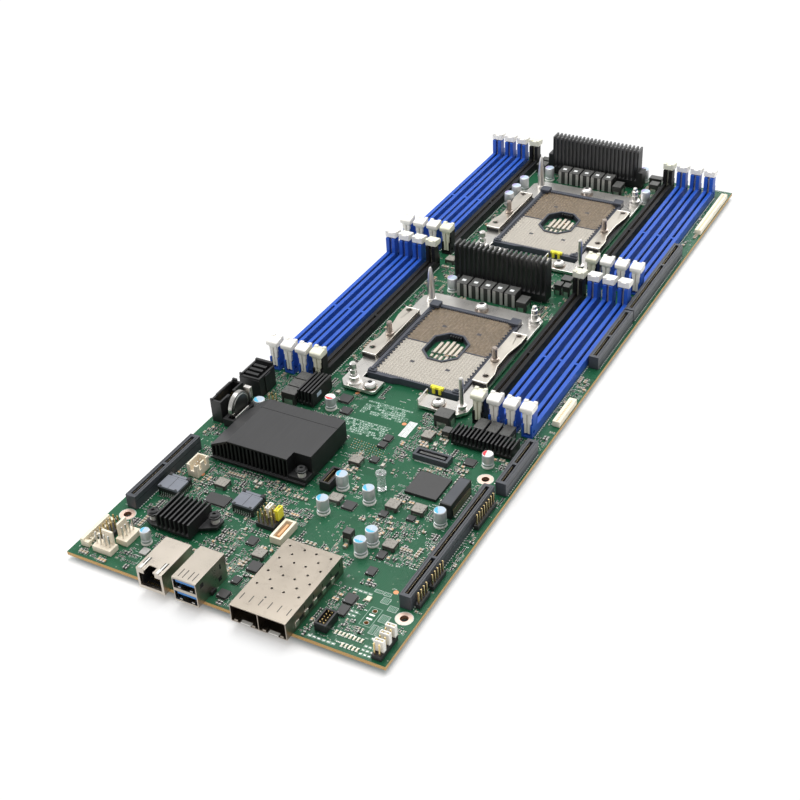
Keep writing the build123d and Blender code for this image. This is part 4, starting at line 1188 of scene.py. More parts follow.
def window_capacitors(shape, cy):
    """The two staggered rows of capacitors in a processor socket's window."""
    for number in range(5):
        x, off_middle = CPU_X - 6.6 + number * 3.1, abs(number - 2)
        y0, y1 = cy - 4.4 + number * 0.3, cy + 10.2 - off_middle * 1.6
        shape.block(x, x + 1.7, y0, y1, 0.0, 1.5, "capacitor_cream", 0.15)
        for low in (y1 - 0.5, y0 - 0.1):
            shape.block(x, x + 1.7, low, low + 0.6, 0.0, 1.55, "solder_tin")
        low = cy - 10.6 + off_middle * 1.3
        shape.block(x + 0.1, x + 1.5, low, cy - 5.6, 0.0, 1.2, "capacitor_cream", 0.12)


def window_lip(shape, cy):
    """The raised eight-sided lip round the opening in the contacts."""
    half_x, half_y, corner, wall = 10.3, 13.5, 6.2, 1.1
    quarter = [(half_x, half_y - corner), (half_x - corner, half_y)]
    points = [(-x, -y) for x, y in quarter] + [(x, -y) for x, y in reversed(quarter)]
    points += [(-x, -y) for x, y in points]
    grown = [(x * (1 + wall / half_x), y * (1 + wall / half_y)) for x, y in points]
    for number in range(8):
        ring = (points[number - 1], points[number], grown[number], grown[number - 1])
        shape.prism([(CPU_X + x, cy + y) for x, y in ring], 0.3, 4.0, "slate_plastic")
    # five painted shade posts just inside the rear edge of the lip
    for number in range(5):
        shape.post(CPU_X - 3.0 + number * 1.6, cy + 12.5, 0.4, 1.1, 1.0, 3.4, "dark_gap")


def rim_catches(shape, cy):
    """Corner catches of the socket frame and its yellow marker."""
    for sx, sy in ((-1, 1), (1, 1), (-1, -1), (1, -1)):
        x, y = CPU_X + sx * 26.0, cy + sy * 38.3
        shape.post(x, y + 0.2, 2.4, 1.5, 4.1, 5.3, "slate_plastic", 0.3)
        shape.post(x, y + 0.2, 0.9, 0.8, 5.2, 6.1, "slate_plastic", 0.2)
    shape.post(CPU_X + 14.8, cy - 39.6, 3.8, 1.0, 4.2, 5.8, "shunt_yellow", 0.25)
    shape.post(CPU_X + 13.1, cy - 40.8, 0.9, 0.4, 1.6, 5.4, "shunt_yellow", 0.2)
    shape.post(CPU_X + 16.8, cy - 40.8, 0.8, 0.4, 1.6, 5.4, "shunt_yellow", 0.2)


def rim_teeth(shape, cy):
    """The fine comb along the inside of the socket frame and the seam between the contacts."""
    half_x, half_y, low, high = 27.0, 38.0, 3.3, 4.0
    for number in range(50):
        y, reach = cy - half_y + 0.6 + number * 1.51, 2.1 if number % 2 else 1.2
        for side in SIDES:
            inner, outer = CPU_X + side * (half_x - reach), CPU_X + side * half_x
            shape.block(inner, outer, y, y + 0.7, low, high, "slate_plastic")
    for side in SIDES:
        shape.post(CPU_X + side * 19.0, cy - 0.05, 7.8, 0.35, 3.2, 3.6, "slate_plastic")
    for number in range(39):
        x = CPU_X - half_x + 0.8 + number * 1.35
        for side in SIDES:
            inner, outer = cy + side * (half_y - 0.9), cy + side * half_y
            shape.block(x, x + 0.7, inner, outer, low, high, "slate_plastic")


def spring_trims(shape, cy):
    """Painted shadow strips along the two leaf springs and on the plates beside them, the rolled spring
    ends with painted shadow under the front ones, and end-hole rings with a painted shade mark.
    """
    # painted shadow along the springs' inner edges, and painted shade bands on the plates beside their
    # outer edges
    shape.blocks(
        "dark_gap", 0.0,
        (CPU_X - 30.6, CPU_X - 29.2, cy - 24.0, cy + 25.0, 3.0, 3.9),
        (CPU_X + 29.2, CPU_X + 30.6, cy - 24.0, cy + 25.0, 3.0, 3.9),
        (CPU_X - 38.7, CPU_X - 36.1, cy - 25.4, cy + 26.2, 2.9, 3.06),
        (CPU_X + 35.7, CPU_X + 38.3, cy - 25.4, cy + 26.2, 2.9, 3.06),
    )
    for x0, x1, hole in ((-39.7, -30.8, -36.2), (29.0, 37.8, 34.3)):
        x0, x1, hole = CPU_X + x0, CPU_X + x1, CPU_X + hole
        shape.block(x0, x1, cy - 26.3, cy - 25.2, 5.0, 6.08, "plated_steel", 0.35)
        shape.block(x0, x1, cy + 26.2, cy + 27.2, 5.0, 6.08, "plated_steel", 0.35)
        # painted shadow under the rolled front end
        shape.block(x0 + 0.3, x1 - 0.3, cy - 26.4, cy - 26.2, 3.1, 4.9, "dark_gap")
        for y in (cy - 19.9, cy + 23.9):
            shape.disc(hole, y, 2.0, 6.08, "dull_steel", hole=1.5)
            # a painted shade mark beside each end-hole ring
            shape.post(hole - 1.3, y, 0.6, 0.4, 6.0, 6.09, "dark_gap")


class BOARD_OT_fit_sockets(bpy.types.Operator):
    """Adds contacts to the memory sockets and card slots, and parts inside the processor sockets"""

    bl_idname = "board.fit_sockets"
    bl_label = "Fit the sockets"

    def execute(self, context):
        shape = Shape("slot_contacts")
        slot_linings(shape)
        shape.piece("slot_contacts")
        inner = Shape("capacitor_tan")
        for cy in CPU_ROWS:
            for fit in (window_capacitors, window_lip, rim_catches, rim_teeth, spring_trims):
                fit(inner, cy)
        inner.piece("socket_fittings")
        return {"FINISHED"}


# ---- ports


def fit_cage(shape):
    """Slits and a hole drawn as painted shade, catches, bay floors, painted shade at the back of the bays
    and spring pads of the module cage.
    """
    x0, x1, top = 97.3, 126.6, 9.6
    middle = (x0 + x1) / 2
    # slits and one hole on the top, drawn as painted shade
    for number in range(6):
        shape.post(x0 + 2.3 + number * 4.9, 2.4, 0.2, 2.2, top - 0.1, top + 0.025, "dark_gap")
    shape.disc(middle - 2.4, 6.0, 0.55, top + 0.025, "dark_gap", steps=12)
    for bay in (middle - 7.4, middle + 7.4):
        for side in SIDES:
            shape.post(bay + side * 4.6, -3.55, 0.9, 1.15, 0.5, 1.5, "tin_shell", 0.1)
        shape.post(bay, -1.4, 2.6, 3.0, 0.05, 0.4, "white_plastic", 0.1)
        # painted shade at the back of each bay
        shape.post(bay, 40.6, 6.4, 2.6, 0.8, 6.0, "dark_gap")
    for number in range(5):
        y = 6.0 + number * 7.6
        # side slits drawn as painted shade
        shape.block(x1 - 0.1, x1 + 0.03, y, y + 3.4, 2.4, 4.2, "dark_gap")
        shape.block(x1 - 0.1, x1 + 0.03, y + 4.4, y + 5.0, 5.4, 7.6, "dark_gap")
        shape.block(x0 - 0.03, x0 + 0.1, y, y + 3.4, 2.4, 4.2, "dark_gap")
        shape.block(x1, x1 + 0.35, y - 3.6, y - 0.6, 1.6, 4.4, "spring_steel", 0.15)


def fit_usb(shape):
    """Tongues, contacts, painted shade linings and springs of the two USB ports, with painted shade slits
    and a painted shadow beside them.
    """
    x0, x1 = 66.8, 79.8
    for z in (0.9, 7.9):
        shape.block(x0 + 1.0, x1 - 1.0, -3.7, 6.0, z + 2.6, z + 4.6, "tongue_blue", 0.15)
        shape.block(x0 + 2.2, x1 - 2.2, -3.2, 5.0, z + 2.52, z + 2.7, "pin_gold")
        # painted shade at the back and on the floor of each port
        shape.block(x0 + 0.6, x1 - 0.6, 5.6, 7.5, z + 0.1, z + 5.1, "dark_gap")
        shape.block(x0 + 0.55, x1 - 0.55, -2.0, 7.4, z + 0.02, z + 0.12, "dark_gap")
        for x in (x0 + 3.2, x1 - 3.2):
            shape.post(x, -2.85, 0.8, 1.45, z + 0.1, z + 0.7, "plated_steel", 0.12)
    # slits on the top drawn as painted shade
    for x in (x0 + 2.6, x0 + 5.0, x1 - 5.0, x1 - 2.6):
        shape.post(x, -0.5, 0.2, 2.7, 13.9, 14.03, "dark_gap")
    # side slits drawn as painted shade
    for ends in ((-1.6, 0.9, 9.0, 11.4), (11.6, 14.0, 2.2, 4.6), (13.4, 14.4, 8.4, 11.2)):
        shape.block(x1 - 0.1, x1 + 0.03, *ends, "dark_gap")
    # painted shadow on the board beside the ports
    shape.block(x1, x1 + 1.1, 4.6, 8.0, 0.0, 2.2, "dark_gap", 0.1)


def fit_jack(shape):
    """Painted shade lining, contacts, springs and painted shade slits of the network jack."""
    x0, x1, top = 46.6, 61.1, 12.0
    middle, mouth = (x0 + x1) / 2, 5.93
    # painted shade lining the jack's mouth: back, floor and side walls
    shape.block(middle - 5.85, middle + 5.85, 8.6, 10.1, 1.9, 9.1, "dark_gap")
    shape.block(middle - 5.9, middle + 5.9, -3.4, 10.0, 1.82, 1.95, "dark_gap")
    for side in SIDES:
        wall, face = middle + side * mouth, middle + side * (mouth - 0.12)
        shape.block(wall, face, -3.2, 10.0, 1.9, 9.1, "dark_gap")
        edge = middle + side * 6.5
        shape.post(edge, -4.69, 0.25, 0.09, 2.0, 9.8, "solder_tin")
    for number in range(8):
        x = middle - 3.6 + number * 1.02
        shape.block(x - 0.16, x + 0.16, -0.6, 8.0, 3.0, 3.3, "pin_gold")
        shape.block(x - 0.2, x + 0.2, -2.8, -1.8, 2.0, 2.3, "pin_gold")
    for x in (x0 + 2.2, x1 - 2.6):
        shape.block(x - 0.8, x + 0.8, -4.74, -1.6, top - 0.3, top + 0.62, "solder_tin", 0.2)
        shape.block(x - 0.3, x + 0.5, -1.7, 3.0, top - 0.1, top + 0.3, "solder_tin", 0.12)
        # painted shade on both sides of each top spring
        shape.block(x + 0.55, x + 1.1, -1.6, 3.6, top - 0.1, top + 0.03, "dark_gap")
        shape.block(x - 0.8, x - 0.4, -1.6, 3.2, top - 0.1, top + 0.03, "dark_gap")
    # painted shade slits across the front, low down
    for z in (0.55, 1.15):
        shape.block(x0 + 0.4, x1 - 0.4, -4.78, -4.6, z, z + 0.16, "dark_gap")
    for y in (3.0, 11.0):
        # painted shade slits in the side wall
        shape.block(x1 - 0.1, x1 + 0.03, y, y + 3.0, 3.0, 4.4, "dark_gap")
        shape.block(x1 - 0.1, x1 + 0.25, y + 0.3, y + 2.6, 4.8, 6.6, "solder_tin", 0.15)


class BOARD_OT_fit_ports(bpy.types.Operator):
    """Fits the front ports with springs, tongues, contacts and painted shade linings"""

    bl_idname = "board.fit_ports"
    bl_label = "Fit the ports"

    def execute(self, context):
        shape = Shape("tin_shell")
        for fit in (fit_cage, fit_usb, fit_jack):
            fit(shape)
        shape.piece("port_fittings")
        return {"FINISHED"}


# ---- headers, connectors, chips and shunts

# rows of equal blocks: finish, rounding, count, first middle x and y, step in x and y, half widths
# in x and y, lower and upper height
PIN_ROWS = (
    ("solder_tin", 0.0, 9, 6.0, 8.65, 0.0, 2.0, 0.6, 0.25, 1.8, 2.6),
    ("solder_tin", 0.0, 9, 7.8, 8.65, 0.0, 2.0, 0.6, 0.25, 0.0, 0.5),
    ("cream_plastic", 0.0, 9, 3.4, 9.2, 0.0, 2.0, 0.04, 0.4, 1.2, 3.4),
    ("solder_tin", 0.0, 14, 167.7, 188.85, 0.0, 1.5, 0.5, 0.25, 0.0, 0.6),
    ("solder_tin", 0.0, 35, 167.7, 416.45, 0.0, 1.5, 0.5, 0.25, 0.0, 0.6),
    ("peach_plastic", 0.0, 14, 170.4, 189.0, 0.0, 1.5, 0.5, 0.4, 3.38, 3.44),
    ("peach_plastic", 0.0, 35, 170.4, 416.6, 0.0, 1.5, 0.5, 0.4, 3.38, 3.44),
    ("solder_tin", 0.1, 3, 21.6, 75.7, 0.0, 2.2, 0.3, 0.3, 2.0, 6.4),
    ("pin_gold", 0.0, 5, 136.0, 8.0, 0.0, 1.8, 0.22, 0.22, 1.2, 4.2),
    ("pin_gold", 0.0, 5, 137.8, 8.0, 0.0, 1.8, 0.22, 0.22, 1.2, 4.2),
    ("pin_gold", 0.1, 6, 5.2, 121.0, 0.0, 2.6, 0.4, 0.4, 3.0, 8.6),
    ("pin_gold", 0.1, 6, 6.9, 121.0, 0.0, 2.6, 0.4, 0.4, 3.0, 8.6),
    ("cream_plastic", 0.1, 8, 143.2, 9.0, 1.85, 0.0, 0.42, 0.9, 0.0, 0.62),
    ("solder_tin", 0.0, 8, 143.2, 7.975, 1.85, 0.0, 0.6, 0.225, 0.0, 0.3),
    ("solder_tin", 0.0, 8, 143.2, 10.025, 1.85, 0.0, 0.6, 0.225, 0.0, 0.3),
    ("cream_plastic", 0.1, 5, 149.6, 3.4, 1.85, 0.0, 0.42, 0.9, 0.0, 0.62),
    ("solder_tin", 0.0, 5, 149.6, 2.375, 1.85, 0.0, 0.6, 0.225, 0.0, 0.3),
    ("solder_tin", 0.0, 5, 149.6, 4.425, 1.85, 0.0, 0.6, 0.225, 0.0, 0.3),
    ("black_plastic", 0.25, 3, 8.8, 149.0, 0.0, 3.9, 4.0, 1.0, 11.4, 13.1),
)
# single blocks: finish, rounding and (x0, x1, y0, y1, z0, z1)
SINGLE_FITTINGS = (
    ("peach_plastic", 0.0, (86.1, 89.1, 48.4, 59.8, 1.0, 1.4)),
    ("peach_plastic", 0.15, (86.9, 88.3, 49.6, 58.6, 1.4, 3.4)),
    ("charcoal_plastic", 0.0, (149.0, 154.2, 99.0, 119.6, 8.4, 8.42)),
    ("card_contacts", 0.0, (154.6, 154.95, 99.6, 119.0, 1.2, 4.6)),
    ("pin_tails_y", 0.0, (155.0, 155.9, 99.6, 119.0, 0.0, 0.4)),
    ("mezzanine_contacts", 0.0, (117.9, 131.9, 135.45, 136.95, 1.3, 2.95)),
    ("mezzanine_contacts", 0.0, (116.9, 132.9, 134.3, 134.5, 1.3, 2.9)),
    ("mezzanine_contacts", 0.0, (116.9, 132.9, 138.0, 138.2, 1.3, 2.9)),
    ("slot_contacts", 0.0, (86.6, 87.0, 93.0, 103.6, 1.4, 4.4)),
    ("slot_contacts", 0.0, (89.0, 89.4, 93.0, 103.6, 1.4, 4.4)),
    ("cream_plastic", 0.12, (144.8, 147.2, 31.6, 34.4, 0.0, 0.95)),
    ("choke_plate", 0.2, (32.4, 36.4, 13.2, 17.8, 0.0, 1.0)),
    ("anodised", 0.0, (32.0, 77.9, 122.36, 123.04, 13.5, 13.86)),
    ("print_pale", 0.0, (46.18, 46.26, 153.8, 158.2, 4.6, 7.0)),
    ("black_plastic", 0.2, (2.6, 4.2, 117.6, 118.7, 13.4, 14.2)),
    ("black_plastic", 0.2, (3.2, 6.0, 137.7, 139.0, 13.4, 14.8)),
    ("black_plastic", 0.2, (2.6, 3.7, 123.0, 136.0, 13.4, 13.9)),
    ("black_plastic", 0.2, (9.4, 9.8, 123.4, 126.2, 2.0, 13.2)),
    ("black_plastic", 0.2, (9.4, 9.8, 130.4, 131.6, 0.5, 13.4)),
    ("black_plastic", 0.2, (2.4, 4.0, 145.6, 146.7, 12.4, 13.5)),
    ("black_plastic", 0.2, (3.4, 14.2, 159.9, 161.6, 9.0, 14.2)),
    ("black_plastic", 0.2, (15.2, 15.7, 150.6, 156.4, 1.0, 11.6)),
    ("black_plastic", 0.2, (2.4, 15.2, 145.25, 145.6, 7.6, 11.4)),
)
# a shunt's sleeve: from and to along it, from and to across it, top and rounding
SLEEVE = (
    (-2.45, 2.45, -1.15, -0.47, 8.8, 0.15),
    (-2.45, 2.45, 0.47, 1.15, 8.8, 0.15),
    (-2.45, -1.9, -0.47, 0.47, 8.8, 0.1),
    (1.9, 2.45, -0.47, 0.47, 8.8, 0.1),
    (-0.7, 0.7, -0.47, 0.47, 8.2, 0.1),
)
# middle x and y of the shunts, whether they lie along x, and their finish
SHUNTS = (
    (167.3, 5.54, True, "white_plastic"),
    (167.3, 10.62, True, "white_plastic"),
    (167.3, 15.7, True, "white_plastic"),
    (75.68, 61.49, False, "white_plastic"),
    (80.76, 61.49, False, "shunt_yellow"),
)


def fan_pins(shape, top):
    """The pins of the two fan headers."""
    for number in range(4):
        along = number * 2.54
        shape.post(12.2 + along, 8.5, 0.36, 0.36, 3.2, top, "solder_tin", 0.12)
        shape.post(21.7, 16.5 + along, 0.36, 0.36, 3.2, top, "solder_tin", 0.12)


def flash_legs(shape):
    """Leads in front of the flash sockets and the contacts on their sides."""
    for _, x, y in FLASH_LIDS:
        for number in range(8):
            along = -4.45 + number * 1.27
            shape.post(x + along, y - 6.4, 0.22, 0.6, 0.0, 0.5, "solder_tin")
            shape.post(x + along, y - 5.82, 0.3, 0.04, 0.4, 2.2, "solder_tin")
            shape.post(x + 6.11, y + along, 0.05, 0.3, 0.4, 2.2, "solder_tin")


def spread(low, high):
    """Even places along a chip's side, about 0.65 mm apart."""
    count = max(2, int((high - low - 0.5) / 0.65))
    return [low + (high - low) * (number + 0.5) / count for number in range(count)]


def chip_legs(shape):
    """Leads round every small chip and a dot at its first lead."""
    half, thick, overlap = 0.15, 0.28, 0.02
    for (x0, x1, y0, y1, z0, z1), _ in islands(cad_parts["chips"]):
        wide, deep = x1 - x0, y1 - y0
        if z0 > 0.3 or max(wide, deep) > 14.0 or min(wide, deep) < 1.5:
            continue
        reach = 0.5 if wide > 4.5 else 0.38
        for x in spread(x0, x1):
            for low, high in ((y0 - reach, y0 + overlap), (y1 - overlap, y1 + reach)):
                shape.block(x - half, x + half, low, high, 0.0, thick, "solder_tin")
        for y in spread(y0, y1):
            for low, high in ((x0 - reach, x0 + overlap), (x1 - overlap, x1 + reach)):
                shape.block(low, high, y - half, y + half, 0.0, thick, "solder_tin")
        shape.disc(x0 + 0.8, y0 + 0.8, 0.25, z1 + 0.012, "label_white", steps=10)


def choke_pads(shape):
    """Plates and a pale mark on the tall chokes, solder pads on the low ones."""
    for (x0, x1, y0, y1, _, z1), _ in islands(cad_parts["chokes"]):
        if z1 > 8.0:
            for low, high in ((x0 + 0.2, x0 + 2.1), (x1 - 2.1, x1 - 0.2)):
                shape.block(low, high, y0 - 0.05, y0 + 0.02, 0.2, z1 - 0.4, "choke_plate")
            shape.block(x0 + 2.0, x1 - 2.4, y0 + 3.0, y0 + 5.2, z1, z1 + 0.03, "label_white")
            continue
        inset_x, inset_y = 0.2 * (x1 - x0), 0.25 * (y1 - y0)
        for low, high in ((x0 - 0.12, x0 + 0.02), (x1 - 0.02, x1 + 0.12)):
            shape.block(low, high, y0 + inset_y, y1 - inset_y, 0.0, z1 * 0.55, "solder_tin")
        shape.block(x0 + inset_x, x1 - inset_x, y0 - 0.1, y0 + 0.02, 0.0, z1 * 0.45, "solder_tin")


def shunt_sleeves():
    """The open plastic sleeves of the jumper shunts."""
    shape = Shape("white_plastic")
    for x, y, along_x, name in SHUNTS:
        for a0, a1, b0, b1, top, bevel in SLEEVE:
            if along_x:
                shape.block(x + a0, x + a1, y + b0, y + b1, 2.8, top, name, bevel)
            else:
                shape.block(x + b0, x + b1, y + a0, y + a1, 2.8, top, name, bevel)
    shape.piece("shunt_sleeves", "board", ("jumper_shunts",))


def lid_marks(body, x, y):
    """Seams and notches drawn as painted shade, and finger pads, on a flash socket's lid."""
    low = 5.5
    lid = Shape("dark_gap")
    # painted shade lines for the seams
    lid.post(x, y - 1.0, 0.12, 4.6, low, 5.57, "dark_gap")
    lid.post(x, y + 3.6, 5.9, 0.1, low, 5.57, "dark_gap")
    for side in SIDES:
        # painted shade in the notches
        lid.post(x + side * 4.6, y - 5.325, 0.7, 0.425, low, 5.58, "dark_gap")
        lid.post(x + side * 3.0, y + 2.35, 2.4, 0.15, low, 5.62, "lid_plastic", 0.05)
    lid.piece(f"{body}_marks", body)


class BOARD_OT_fit_headers(bpy.types.Operator):
    """Adds pins, ribs, leads and the coloured shunts of headers, sockets and chips"""

    bl_idname = "board.fit_headers"
    bl_label = "Fit the headers"

    def execute(self, context):
        shape = Shape("solder_tin")
        fan_pins(shape, context.scene.board_settings.pin_height / MM + 0.02)
        for name, bevel, count, x, y, step_x, step_y, *sizes in PIN_ROWS:
            for number in range(count):
                shape.post(x + number * step_x, y + number * step_y, *sizes, name, bevel)
        for name, bevel, box in SINGLE_FITTINGS:
            shape.block(*box, name, bevel)
        for fit in (flash_legs, chip_legs, choke_pads):
            fit(shape)
        shape.piece("header_fittings")
        shunt_sleeves()
        for lid in FLASH_LIDS:
            lid_marks(*lid)
        return {"FINISHED"}


# ---- turned parts

# screws round a processor socket: place from its middle and the height of the washer's spacer
SCREWS = ((0.8, 44.9, 2.4), (-20.2, -51.3, 1.0), (21.2, -50.6, 1.0))
SCREW_WASHER = ((0.0, 3.0), (4.2, 3.0), (4.2, 3.4), (0.0, 3.45))
STUD_FOOT = [(0.0, 3.0), (1.7, 3.0), (1.7, 6.3), (2.5, 6.3), (2.5, 7.5), (1.65, 7.7)]
STUD_RING = ((1.65, 0.0), (1.65, 0.7), (1.45, 0.8), (1.45, 1.0))
STUD_TIP = [(1.65, 13.5), (1.3, 14.3), (0.0, 14.35)]
# corner posts: place from the processor's middle, steps round and (radius, height) profile
CORNER_POSTS = (
    (-32.2, 44.4, 28, (
        (0.0, 3.0), (2.95, 3.0), (2.95, 4.1), (2.3, 4.3), (2.2, 12.0), (1.6, 20.0), (1.1, 23.6),
        (0.6, 24.8), (0.0, 24.95),
    )),
    (34.4, 44.6, 28, (
        (0.0, 3.0), (3.55, 3.0), (3.55, 3.9), (3.0, 4.2), (3.5, 4.6), (3.5, 5.8), (1.95, 6.0),
        (1.95, 9.0), (1.5, 9.4), (1.95, 9.8), (1.95, 12.2), (1.3, 12.5), (1.3, 14.3), (0.8, 14.65),
        (0.0, 14.65),
    )),
    (-30.5, -50.7, 28, (
        (0.0, 3.0), (4.3, 3.0), (4.3, 4.1), (2.85, 4.3), (2.85, 7.0), (2.1, 7.4), (1.95, 8.4),
        (1.55, 8.8), (1.95, 9.2), (1.95, 11.4), (1.5, 11.8), (1.95, 12.2), (1.95, 15.2), (1.3, 15.9),
        (0.0, 15.9),
    )),
    (34.4, -49.7, 24, (
        (0.0, 3.0), (2.75, 3.0), (2.75, 3.8), (2.2, 4.1), (2.7, 4.5), (2.7, 6.2), (1.25, 6.4),
        (1.25, 22.6), (0.8, 23.3), (0.0, 23.35),
    )),
)
# push pins: x, y and the height of the heat sink's ear under their spring
PUSH_PINS = ((74.4, 92.6, 4.2), (54.4, 45.6, 2.9), (25.6, 35.4, 2.9))
PIN_CAP = (
    (0.0, 2.6), (2.2, 2.6), (2.2, 3.2), (3.05, 3.4), (3.05, 4.1), (2.5, 4.3), (2.5, 4.8), (2.0, 5.15),
    (0.9, 5.15), (0.8, 4.4), (0.0, 4.4),
)
STANDOFF_PLACE = (112.8, 105.0)
STANDOFF = (
    (0.0, 0.05), (2.5, 0.05), (2.5, 0.8), (2.15, 0.9), (2.15, 8.5), (2.75, 8.8), (2.75, 10.1),
    (2.35, 10.35), (0.8, 10.35), (0.7, 9.6), (0.0, 9.6),
)


def processor_posts(shape, cy):
    """Screws, studs and corner posts round one processor socket."""
    for sx, sy, spacer in SCREWS:
        low = PLATE_Z + spacer
        head = [
            (0.0, 3.4), (2.3, 3.4), (2.3, low), (3.7, low), (3.7, low + 0.5), (3.3, low + 1.3),
            (2.6, low + 1.95), (1.7, low + 2.3), (0.0, low + 2.34),
        ]
        shape.turned(CPU_X + sx, cy + sy, SCREW_WASHER, "dull_steel", 28)
        shape.turned(CPU_X + sx, cy + sy, head, "screw_steel", 28)
    rings = [(r, 7.9 + ring * 1.1 + z) for ring in range(5) for r, z in STUD_RING]
    for sx in (-33.9, 32.1):
        shape.turned(CPU_X + sx, cy - 3.7, STUD_FOOT + rings + STUD_TIP, "dull_steel", 24)
    for sx, sy, steps, profile in CORNER_POSTS:
        shape.turned(CPU_X + sx, cy + sy, profile, "screw_steel", steps)


class BOARD_OT_make_fasteners(bpy.types.Operator):
    """Turns the screws, push pins, standoff and guide posts"""

    bl_idname = "board.make_fasteners"
    bl_label = "Make the fasteners"

    def execute(self, context):
        shape = Shape("screw_steel")
        for cy in CPU_ROWS:
            processor_posts(shape, cy)
        shape.piece("turned_posts", "board", ("guide_posts",))
        pins = Shape("screw_steel")
        for cy in CPU_ROWS:
            for sx, sy, spacer in SCREWS:
                recess_z = PLATE_Z + spacer + 2.37
                # a painted shade disc in the recess of each screw head
                pins.disc(CPU_X + sx, cy + sy, 1.4, recess_z, "dark_gap", steps=12)
        for x, y, seat in PUSH_PINS:
            spring = [(0.0, 0.1), (1.6, 0.1), (1.6, seat), (2.1, seat)]
            for turn in range(4):
                z = seat + turn * 0.6
                spring += [(2.15, z + 0.1), (2.15, z + 0.4), (1.75, z + 0.5)]
            spring += [(1.75, seat + 2.6), (0.0, seat + 2.6)]
            pins.turned(x, y, spring, "spring_wire", 20)
            pins.turned(x, y, [(r, seat + z) for r, z in PIN_CAP], "black_plastic", 24)
        pins.turned(*STANDOFF_PLACE, STANDOFF, "clear_plastic", 24)
        pins.piece("push_pins_and_standoff", "board", ("fasteners",))
        return {"FINISHED"}


CELL_MIDDLE = (14.8, 125.8, 8.6)
# the cell's outline as (radius, distance from its middle)
CELL_OUTLINE = (
    (0.0, -1.58), (6.4, -1.58), (6.7, -1.35), (7.2, -1.35), (7.9, -1.0), (7.98, -0.4), (7.98, 1.2),
    (7.6, 1.58), (0.0, 1.58),
)


class BOARD_OT_make_cell(bpy.types.Operator):
    """Turns the coin cell with its rolled edge and adds the holder's spring clip"""

    bl_idname = "board.make_cell"
    bl_label = "Make the coin cell"

    def execute(self, context):
        x, y, z = CELL_MIDDLE
        shape = Shape("cell_steel")
        line = [at(x - height, y + r, z) for r, height in CELL_OUTLINE]
        for face in shape.spun(line, at(x, y, z), (1, 0, 0), "cell_steel", 48):
            place = face.calc_center_median()
            # the cell's flat face gets near-black metal as painted shade
            if place.x > at(x, y).x + 1.2 * MM and (place - at(x + 1.5, y, z)).length < 6.2 * MM:
                shape.paint([face], "cell_face")
        shape.piece("coin_cell_can", "coin_cell", ("coin_cell",))
        clip = Shape("plated_steel")
        clip.block(x - 1.8, x + 1.8, y + 8.36, y + 8.5, 5.0, 13.9, "plated_steel")
        clip.block(x - 2.05, x + 2.05, y + 8.4, y + 10.6, 8.2, 14.4, "screw_steel", 0.1)
        clip.block(x + 2.5, x + 3.1, y - 7.6, y + 4.6, 4.6, 6.1, "screw_steel", 0.1)
        clip.piece("cell_clip")
        return {"FINISHED"}


# ---- stage

CAMERA_PLACE = (393.292, -352.35, 427.743)
CAMERA_TURN = (0.528759, 0.610236, -0.057985)  # round, up and roll, in radians
SENSOR = 36.0
FOCAL_LENGTH = 1385.3976 / 800.0 * SENSOR
# lamps: name, place in metres, size and share of the lamp power
LAMPS = (
    ("overhead", (-0.15, 0.25, 1.1), 0.8, 1.0),
    ("left", (-1.1, -0.2, 0.7), 0.6, 0.6),
    ("behind", (0.1, 1.4, 0.9), 0.7, 0.7),
)
WHITE = (1, 1, 1, 1)


def add_to_scene(name, data):
    made = bpy.data.objects.new(name, data)
    bpy.context.scene.collection.objects.link(made)
    return made


def blend_on(tree, amount, first, second, output):
    """Sends a blend of two shaders to a tree's output."""
    blend = tree.nodes.new("ShaderNodeMixShader")
    for number, socket in enumerate((amount, first, second)):
        tree.links.new(socket, blend.inputs[number])
    tree.links.new(blend.outputs[0], tree.nodes[output].inputs["Surface"])


def set_camera(context):
    azimuth, elevation, roll = CAMERA_TURN
    level = math.cos(elevation)
    back = Vector((math.sin(azimuth) * level, -math.cos(azimuth) * level, math.sin(elevation)))
    right = Vector((0, 0, 1)).cross(back).normalized()
    up = back.cross(right)
    cos, sin = math.cos(roll), math.sin(roll)
    columns = (right * cos + up * sin, up * cos - right * sin, back)
    data = bpy.data.cameras.new("camera")
    data.sensor_width = SENSOR
    data.lens = FOCAL_LENGTH
    data.clip_start, data.clip_end = 0.01, 20.0
    camera = add_to_scene("camera", data)
    turned = Matrix(columns).transposed().to_4x4()
    camera.matrix_world = Matrix.Translation(at(*CAMERA_PLACE)) @ turned
    context.scene.camera = camera


def lay_floor(settings):
    """A pale floor that shows as plain white beyond the board's own shadow."""
    mesh = bmesh.new()
    lowered = Matrix.Translation((0, 0, -0.2 * MM))
    bmesh.ops.create_grid(mesh, x_segments=1, y_segments=1, size=6.0, matrix=lowered)
    data = bpy.data.meshes.new("floor")
    mesh.to_mesh(data)
    mesh.free()
    floor = add_to_scene("floor", data)
    paint = Paint("floor_paper")
    colour = tuple(settings.floor_colour)
    paint.done(paint.mix(paint.noise(900.0), shade(colour, 0.985), colour), 0.85)
    path = paint.tree.nodes.new("ShaderNodeLightPath")
    kinds = ("Is Camera Ray", "Is Glossy Ray", "Is Transmission Ray")
    seen, glossy, through = (Wire(paint, path.outputs[kind]) for kind in kinds)
    glow = paint.node("ShaderNodeEmission", {"Color": (1.0, 1.0, 1.0), "Strength": 1.0})
    x, y, _ = paint.parts(paint.place)
    beyond = paint.math("MAXIMUM", x.size() - 0.082, y.size() - 0.234) * 60.0
    beyond = paint.math("MINIMUM", paint.math("MAXIMUM", beyond, 0.0), 1.0)
    amount = (seen + glossy * 0.9 + through) * 0.86 * beyond
    blend_on(paint.tree, amount.socket, paint.shader.outputs[0], glow.socket, "Material Output")
    data.materials.append(paint.material)


